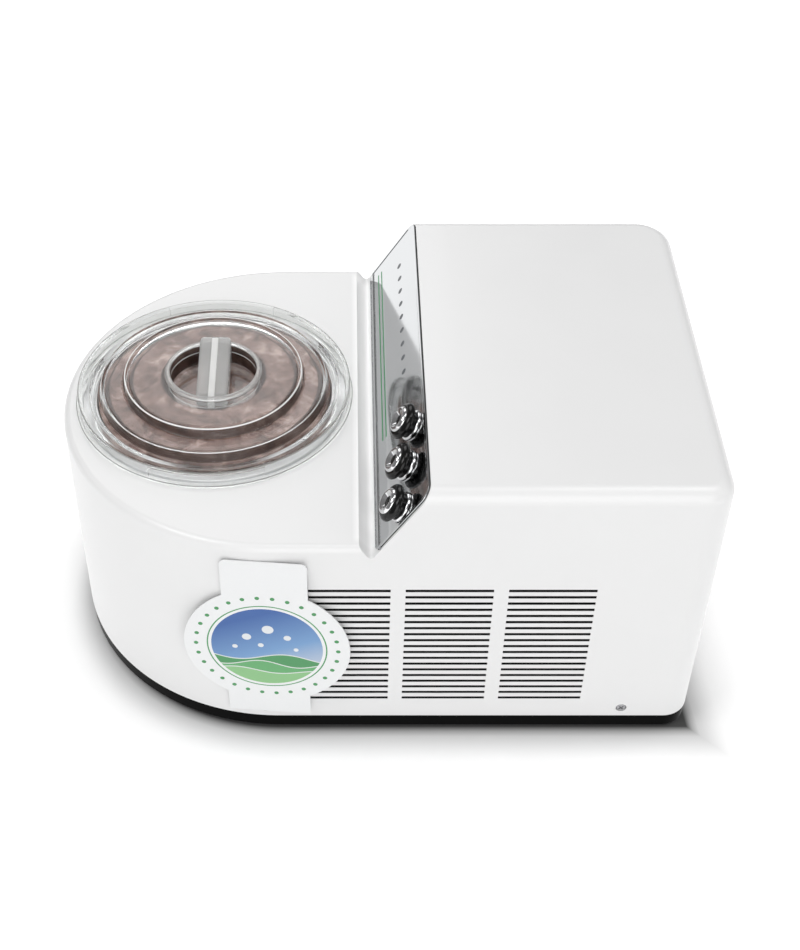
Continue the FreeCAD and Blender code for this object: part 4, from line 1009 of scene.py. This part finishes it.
def controlPanel():
    piece = slopePlate("control_sheet", 0, panel["thick"])
    edit(piece)
    pick(piece, "FACE", lambda f: f.normal.z > flatTop)
    bpy.ops.mesh.inset(thickness=panel["rim"], depth=0)
    bpy.ops.mesh.inset(thickness=panel["step"], depth=-panel["sunk"])
    deselect()
    bevelAll(piece, panel["edge"], segments=2, angle=25)
    ontoSlope(piece)
    dress(piece, "housing", panelFinish, ("control_panel",))
    # a black sheet a little wider than the panel, under it: painted shade for the gap round the panel's edge
    gasket = slopePlate("panel_gasket", panel["gasket"], panel["gasket"])
    ontoSlope(gasket)
    dress(gasket, "housing", rubberBlack)


button = {
    "collar": [(8.06, 0, 0), (10.2, 0, 0), (10.2, 0.9, 0.4), (9.4, 1.9, 0.6), (8.06, 1.9, 0.3)],
    "knob": [
        (0, -5, 0), (8, -5, 0.4), (8, 4.6, 0), (10.6, 4.6, 0.5), (12.2, 5.7, 0.8), (12.2, 8.0, 1.2),
        (10.1, 9.7, 0.7), (8.9, 9.7, 0), (8.9, 9.1, 0), (3.3, 9.1, 0), (3.3, 9.8, 0.3), (0, 10.2, 0),
    ],
    "cap": [
        (3.5, 9.1, 0), (8.7, 9.1, 0), (8.7, 10.2, 0.5), (7.5, 11.7, 0.8), (5.9, 11.6, 0.6), (3.5, 9.7, 0),
    ],
    "collarSteps": 64,
    "steps": 72,
    "smooth": 45,
}


def pushButtons():
    collars = []
    steps, angle = button["steps"], button["smooth"]
    for name, seat in buttonSeats.items():
        collars.append(turned(f"{name}_collar", button["collar"], seat, button["collarSteps"], slopeTurn))
        knob = turned(f"{name}_knob", button["knob"], seat, steps, slopeTurn, closed=False, angle=angle)
        dress(knob, f"{name}_push", buttonBlack, (f"{name}_button",))
        cap = turned(f"{name}_cap_disc", button["cap"], seat, steps, slopeTurn, angle=angle)
        dress(cap, f"{name}_push", brightChrome, (f"{name}_button_cap",))
    piece = joined("button_collar_rings", collars)
    smooth(piece, angle, weighted=False)
    dress(piece, "housing", brightChrome, ("button_collars",))


controlPanel()
pushButtons()
print("panel and buttons made")


# Lid, filler cap and its grip

lid = {
    "cover": [
        (89.5, 175.3, 0.2), (93.4, 175.3, 0.3), (93.4, 177.4, 0.8), (92, 177.4, 0.5), (92, 186, 0.7),
        (90.5, 187.5, 0.7), (86.5, 187.5, 0.9), (77.3, 184.2, 0.9), (75.8, 190, 0.7), (61, 190, 0.9),
        (59.5, 196, 0.7), (31.4, 196, 0.4), (31.4, 193.8, 0.2), (57.3, 193.8, 0.6), (58.8, 187.8, 0.6),
        (73.6, 187.8, 0.6), (75.1, 182, 0.6), (81.2, 182.4, 0.3), (82.0, 177.7, 0.2), (83.6, 177.7, 0.2),
        (84.4, 183.0, 0.3), (89.5, 184.6, 0.6),
    ],
    "steps": 160,
    "smooth": 50,
    "recess": [(90.9, 178.0, 0), (97, 178.0, 0), (97, 185.3, 0), (90.9, 185.3, 0)],
    "recessHalf": math.radians(24),
    "wedgeReach": 120 * mm,
    "wedgeLow": 150 * mm,
    "wedgeHeight": 60 * mm,
    "beads": {  # fine raised line along the edge of each step, of the rim and of its foot: the milky white ones are painted highlights, the grey ones painted shade
        "inner": (highlightBead, [
            (58.75, 195.6, 0), (58.75, 196.12, 0.2), (59.35, 196.08, 0.2), (59.7, 195.5, 0.1),
            (59.3, 195.3, 0),
        ]),
        "outer": (highlightMilky, [
            (75.2, 189.7, 0), (75.2, 190.08, 0.1), (75.6, 190.05, 0.1), (75.9, 189.6, 0.1),
            (75.6, 189.5, 0),
        ]),
        "rim": (shadeBead, [
            (90.9, 186.85, 0), (91.05, 187.2, 0.1), (91.65, 186.65, 0.1), (91.45, 186.3, 0),
        ]),
        "foot": (shadeBead, [
            (92.9, 177.25, 0), (93.05, 177.5, 0.1), (93.48, 177.1, 0.1), (93.3, 176.8, 0),
        ]),
    },
}
cup = {
    "wall": [
        (0, 180.6, 0), (30.9, 180.6, 1.2), (30.9, 196, 0), (29.1, 196, 0), (29.1, 182.6, 1.0), (0, 182.6, 0),
    ],
    "ring": [(29.1, 196, 0), (32.8, 196.02, 0), (32.7, 196.5, 0.2), (31.6, 197.6, 0.4), (29.1, 197.9, 0.4)],
    # a milky band round the cup's wall: a painted highlight line
    "band": [(30.95, 188.6, 0.1), (31.25, 188.6, 0.1), (31.25, 189.3, 0.1), (30.95, 189.3, 0.1)],
    "steps": 112,
}
grip = {  # half width, front, back, low, top and rounding of the bar and of its ridge
    "bar": (10.6 * mm, -23.5 * mm, 30.6 * mm, 182.9 * mm, 202.0 * mm, 2.6 * mm),
    "ridge": (2.3 * mm, -28.9 * mm, 28.0 * mm, 186.5 * mm, 202.6 * mm, 0.8 * mm),
    "drop": 8.0 * mm,
    "foot": 28.0 * mm,
}


def clearCover():
    steps, angle = lid["steps"], lid["smooth"]
    piece = turned("lid_cover", lid["cover"], bowlAxis, steps)
    low, spread = lid["wedgeLow"], lid["wedgeReach"] * math.tan(lid["recessHalf"])
    for way in (-1, 1):  # finger recess at the front and the back of the skirt
        cutter = turned("recessCutter", lid["recess"], bowlAxis, steps)
        far = way * lid["wedgeReach"]
        outline = [(bowlX, 0, low), (bowlX - spread, far, low), (bowlX + spread, far, low)]
        combine(cutter, prism("wedge", outline, (0, 0, lid["wedgeHeight"])), "INTERSECT")
        combine(piece, cutter)
    smooth(piece, angle)
    dress(piece, "lid_body", clearLid, ("lid",))
    for name, (finish, profile) in lid["beads"].items():
        bead = turned(f"lid_{name}_line", profile, bowlAxis, steps, angle=angle)
        dress(bead, "lid_body", finish)


def fillerCup():
    steps, angle = cup["steps"], lid["smooth"]
    piece = turned("filler_cup", cup["wall"], bowlAxis, steps, closed=False, angle=angle)
    dress(piece, "filler_body", clearLid, ("filler_cap",))
    for name, finish in {"ring": cloudyRing, "band": highlightMilky}.items():
        edging = turned(f"filler_{name}", cup[name], bowlAxis, steps, angle=angle)
        dress(edging, "filler_body", finish)


def gripBlock(name, size, finish):  # a bar lower at its front end, rounded all over
    half, front, back, low, top, ease = size
    block = plainBox(name, (bowlX - half, front, low), (bowlX + half, back, top))
    edit(block)
    pick(block, "VERT", lambda v: v.co.z > top - mm and v.co.y < 0)
    bpy.ops.transform.translate(value=(0, 0, -grip["drop"]))
    pick(block, "VERT", lambda v: v.co.z < low + mm and v.co.y > 0)
    bpy.ops.transform.translate(value=(0, min(0, grip["foot"] - back), 0))
    deselect()
    bevelAll(block, ease, segments=5, angle=40)
    smooth(block, angle=40)
    dress(block, "filler_body", finish)


clearCover()
fillerCup()
gripBlock("filler_grip", grip["bar"], cloudyBar)  # the bar that fingers pull
gripBlock("filler_ridge", grip["ridge"], frosted)  # along the bar's middle
print("lid made")


# Bowl, well and what is being churned

bowl = {
    "profile": [
        (9.01, 84, 0.3), (81.2, 84, 8.2), (81.2, 176.2, 0.6), (88, 176.2, 0.5), (88, 177.4, 0.5),
        (80, 177.4, 0.9), (80, 85.2, 7), (10.51, 85.2, 1.5), (10.51, 161, 0.5), (9.01, 161, 0.4),
    ],
    "steps": 144,
    "smooth": 45,
}
well = {
    "profile": [
        (7.01, 79.9, 0.2), (83.2, 79.9, 1.5), (83.2, 175, 0.3), (88, 175, 0.3), (88, 176.2, 0.4),
        (81.7, 176.2, 0.6), (81.7, 81.7, 1.5), (8.51, 81.7, 0.8), (8.51, 156, 0.4), (7.01, 156, 0.2),
    ],
    "steps": 144,
    "smooth": 45,
}


def vessel(name, size, bodyName, finish, node):
    piece = turned(name, size["profile"], bowlAxis, size["steps"], angle=size["smooth"])
    dress(piece, bodyName, finish, (node,))


def iceCream():  # a churned, lumpy top just under the lid, carried round by the dasher
    levels, low, margin = ice["levels"], ice["low"], ice["lumpMargin"]
    edge = levels[0][0]
    profile = [(0, low, 0), (edge, low, 0)]
    for (r1, z1), (r2, z2) in zip(levels, levels[1:]):
        count = max(1, round((r1 - r2) / ice["ringStep"]))
        profile += [(r1 + (r2 - r1) * k / count, z1 + (z2 - z1) * k / count, 0) for k in range(count)]
    profile.append((*levels[-1], 0))
    piece = turned("ice_cream", profile, bowlAxis, steps=168, closed=False)
    for corner in piece.data.vertices:
        flat = Vector((corner.co.x - bowlX, corner.co.y, 0))
        inside = ice["lumpStart"] < flat.length / mm < edge - margin
        if inside and corner.co.z > (low + margin) * mm:
            lump = noise.fractal(flat * ice["lumpScale"] + ice["seed"], *ice["lumpDetail"])
            corner.co.z += ice["lump"] * lump
    smooth(piece, angle=70, weighted=False)
    dress(piece, "dasher_body", iceFinish)


vessel("bowl_cup", bowl, "bowl_body", bowlMetal, "bowl")
vessel("well_cup", well, "housing", wellMetal, "freezing_well")
iceCream()
print("bowl made")


# Printed card on the round front

def frontCard():
    middle, facing = (card["offset"], 0, card["height"]), (math.radians(90), 0, 0)
    disc = roundRod("front_card", card["radius"], 0, card["thick"], middle, sides=128, turn=facing)
    half = card["tab"] / 2
    tab = plainBox("cardTab", (card["offset"] - half, -card["thick"], card["low"]),
                   (card["offset"] + half, 0, card["high"]))

    def upperCorner(edge):
        a, b = ends(edge)
        return level(edge, card["high"]) and near(a.x, b.x)

    bevelEdges(tab, upperCorner, card["corner"], segments=6)
    combine(disc, tab, "UNION")
    edit(disc)
    weld()
    bpy.ops.mesh.dissolve_limited(angle_limit=math.radians(1))
    deselect()
    disc.rotation_euler = cardTurn
    disc.location = cardAt
    settle(disc)
    smooth(disc, angle=30)
    dress(disc, "housing", cardFinish, ("front_label",))


frontCard()
print("card made")


# Mains inlet at the back

inlet = {
    "corner": 3.5 * mm,
    "edge": 0.5 * mm,
    "wall": 2 * mm,
    "plate": 2.2 * mm,
    "overlap": 0.5 * mm,
    "roomCorner": 5 * mm,
}


def powerInlet():
    plateY = inletHigh.y - inlet["plate"]
    inner, wall = shell["inletFlange"], inlet["wall"]
    roomTop = inletHigh.z - inner - wall

    def alongY(edge, height=None):
        a, b = ends(edge)
        return near(a.x, b.x) and near(a.z, b.z) and (height is None or near(a.z, height))

    plate = inletBox("inlet_socket", 0, plateY, inletHigh.y)
    bevelEdges(plate, alongY, inlet["corner"], segments=6)
    bevelAll(plate, inlet["edge"], segments=3, angle=60)
    combine(plate, inletBox("inletCup", inner, inletLow.y, plateY + inlet["overlap"]), "UNION")
    hollow = inletBox("inletRoom", inner + wall, inletLow.y + wall, inletHigh.y + overshoot)
    bevelEdges(hollow, lambda e: alongY(e, roomTop), inlet["roomCorner"], segments=1)
    combine(plate, hollow)
    smooth(plate, angle=30)
    dress(plate, "housing", inletBlack, ("power_inlet",))


powerInlet()
print("inlet made")


# Finishes of the solids that stay as they are, mostly inside

innerPlastics = {  # finish, its dark and light tones, roughness, grain and the grain's size
    "gear_nylon": ("gear_nylon", (0.62, 0.60, 0.52), (0.74, 0.72, 0.64), 0.45, 0.15),
    "gearbox_grey": ("gearbox_grey", (0.07, 0.075, 0.08), (0.11, 0.115, 0.12), 0.55, 0.25),
    "fan_plastic": ("fan_black", (0.015, 0.015, 0.016), (0.03, 0.03, 0.031), 0.5, 0.2),
    "switch_plastic": ("switch_grey", (0.02, 0.02, 0.022), (0.04, 0.04, 0.042), 0.5, 0.2),
    "board_laminate": ("board_green", (0.01, 0.07, 0.025), (0.02, 0.12, 0.04), 0.4, 0.3, 350),
    "insulation_foam": ("foam_yellow", (0.60, 0.50, 0.24), (0.74, 0.64, 0.36), 0.9, 0.8, 260),
    "foam_tape": ("tape_white", (0.62, 0.62, 0.60), (0.72, 0.72, 0.70), 0.9, 0.6, 400),
    "dasher_white": ("dasher_white", (0.72, 0.72, 0.70), (0.80, 0.80, 0.78), 0.35, 0.1),
    "seal_rubber": ("seal_rubber", grey(0.02), grey(0.035), 0.7, 0.2),
}
innerMetals = {  # finish, its dark and light tones, roughness and the way it is brushed
    "shaft_steel": ("shaft_steel", (0.52, 0.52, 0.53), (0.64, 0.64, 0.65), 0.25, (1, 1, 30)),
    "bush_bronze": ("bush_bronze", (0.42, 0.26, 0.10), (0.56, 0.36, 0.16), 0.42),
    "motor_steel": ("motor_steel", (0.38, 0.39, 0.40), (0.50, 0.51, 0.52), 0.35),
    "cooler_metal": ("sleeve_alloy", (0.60, 0.61, 0.62), (0.72, 0.73, 0.74), 0.4),
    "copper": ("copper_tube", (0.55, 0.25, 0.13), (0.70, 0.36, 0.20), 0.28),
    "pin_brass": ("pin_brass", (0.56, 0.42, 0.17), (0.68, 0.54, 0.26), 0.25),
}
enamel = mouldedPlastic("compressor_enamel", grey(0.010), grey(0.018), 0.3, 0.3, size=300, coat=0.2)
finAlloy = plainMetal("fin_alloy", (0.055, 0.055, 0.06), (0.09, 0.09, 0.095), 0.55)
slotFinish = {
    **{slot: mouldedPlastic(*row) for slot, row in innerPlastics.items()},
    **{slot: plainMetal(*row) for slot, row in innerMetals.items()},
    "compressor_black": enamel,
    "bracket_steel": enamel,
    "foot_rubber": rubberBlack,
    "screw_steel": screwZinc,
}
for part in frame["record"]["subparts"]:
    name = part["node"]
    finish = finAlloy if name == "condenser" else slotFinish.get(part["material_slot"])
    if finish is not None:
        mesh = frame["nodes"][name].data
        mesh.materials.clear()
        mesh.materials.append(finish)
print("inner pieces finished")


# Floor, world, lamps and camera

stage = {
    "size": 12.0,
    "paper": (grey(0.94), grey(0.95)),
    "roughness": 0.9,
    "glow": 1.45,
    "mirrored": 0.8,  # share of the glow where the floor is seen in a mirror
    "lean": 0.012,  # how far the painted shadow leans to the front, with the glow's fade
    "fade": ((0.010, 0.0), (0.045, 0.3), (0.15, 0.75), (0.8, 1.0)),  # metres away, share of glow
    "contact": ((0.0, 0.08), (0.006, 0.7), (0.025, 1.0)),  # metres away, tone of the paper: a painted contact shadow
    "sky": {"lighting": 0.48, "mirrored": 0.20, "seen": 1.0},
}


def floorFinish():  # glowing white paper, with a painted shadow that darkens it close to the body
    finish = Finish("floor_paper")
    x, y, _ = finish.split(finish.place())
    leftward = finish.maths("MINIMUM", x - card["endCentre"], 0.0)
    apart = span(leftward, y) - backY
    apart = finish.maths("MAXIMUM", apart, x - endX)
    apart = apart + (y / backY + 1.0) * stage["lean"]
    fade = finish.ramp(apart, [(where, grey(share)) for where, share in stage["fade"]])
    # painted shadow: the paper's tone darkens near the body
    tone = finish.ramp(apart, [(where, grey(share)) for where, share in stage["contact"]])
    path = finish.add("ShaderNodeLightPath").socket.node
    seen = Shade(finish, path.outputs["Is Camera Ray"])
    mirrored = Shade(finish, path.outputs["Is Glossy Ray"])
    paper = finish.surface({
        "Base Color": finish.mix(tone, black, finish.mix(finish.noise(scale=60), *stage["paper"])),
        "Roughness": stage["roughness"],
        "Specular IOR Level": 0.0,
    })
    glow = finish.add("ShaderNodeEmission", sockets={"Color": (*white, 1), "Strength": stage["glow"]})
    share = seen * fade + mirrored * stage["mirrored"]
    return finish.done(finish.add("ShaderNodeMixShader", sockets={0: share, 1: paper, 2: glow}))


deselect()
bpy.ops.mesh.primitive_plane_add(size=stage["size"], location=(0, 0, 0))
floor = bpy.context.active_object
floor.name = "studio_floor"
floor.data.materials.append(floorFinish())

world = bpy.data.worlds.new("studio")
bpy.context.scene.world = world
world.use_nodes = True
tree = world.node_tree
tree.nodes.clear()


def mixSkies(share, first, second):
    node = tree.nodes.new("ShaderNodeMixShader")
    for index, output in enumerate((share, first, second)):
        tree.links.new(output, node.inputs[index])
    return node.outputs[0]


skies = {}
for name, strength in stage["sky"].items():
    sky = tree.nodes.new("ShaderNodeBackground")
    sky.inputs["Color"].default_value = (*white, 1)
    sky.inputs["Strength"].default_value = strength
    skies[name] = sky.outputs[0]
path = tree.nodes.new("ShaderNodeLightPath")
unseen = mixSkies(path.outputs["Is Glossy Ray"], skies["lighting"], skies["mirrored"])
chosen = mixSkies(path.outputs["Is Camera Ray"], unseen, skies["seen"])
shown = tree.nodes.new("ShaderNodeOutputWorld")
tree.links.new(chosen, shown.inputs[0])

lamps = {
    "backSoftbox": {"at": (-0.35, 1.65, 1.5), "aim": (-0.1, 0, 0.2), "size": 1.1, "power": 7.5},
    "overheadLeft": {"at": (-1.0, -0.5, 1.9), "aim": (0.0, 0, 0.2), "size": 0.8, "power": 10.5},
    "overheadRight": {"at": (0.75, 0.0, 2.2), "aim": (0.0, 0, 0.2), "size": 0.8, "power": 7},
    "sparkle": {"at": (-0.1, -0.15, 2.3), "aim": (-0.1, 0, 0.2), "size": 0.3, "power": 2.5},
    "frontFill": {"at": (0.2, -2.2, 1.0), "aim": (0, 0, 0.1), "size": 1.8, "power": 20},
    "rightFill": {"at": (1.9, -0.4, 0.8), "aim": (0, 0, 0.15), "size": 1.2, "power": 3},
    "leftFill": {"at": (-1.9, -0.3, 0.8), "aim": (0, 0, 0.1), "size": 1.2, "power": 0.3},
}
for name, lamp in lamps.items():
    light = bpy.data.lights.new(name, "AREA")
    light.size = lamp["size"]
    light.energy = lamp["power"]
    holder = bpy.data.objects.new(name, light)
    bpy.context.collection.objects.link(holder)
    holder.location = lamp["at"]
    holder.rotation_euler = (Vector(lamp["aim"]) - Vector(lamp["at"])).to_track_quat("-Z", "Y").to_euler()

view = {
    "at": (-21.4 * mm, -800.8 * mm, 847.1 * mm),
    "tilt": math.radians(47),
    "sensor": 36,
    "lens": 58.21,
    "shift": 0.0566,
}
camera = bpy.data.cameras.new("photo_camera")
camera.sensor_width = view["sensor"]
camera.sensor_fit = "AUTO"
camera.lens = view["lens"]
camera.shift_x = view["shift"]
cameraHolder = bpy.data.objects.new("photo_camera", camera)
bpy.context.collection.objects.link(cameraHolder)
cameraHolder.location = view["at"]
cameraHolder.rotation_euler = (view["tilt"], 0, 0)
bpy.context.scene.camera = cameraHolder
bpy.context.scene.view_settings.view_transform = "Standard"
print("studio made")

deselect()
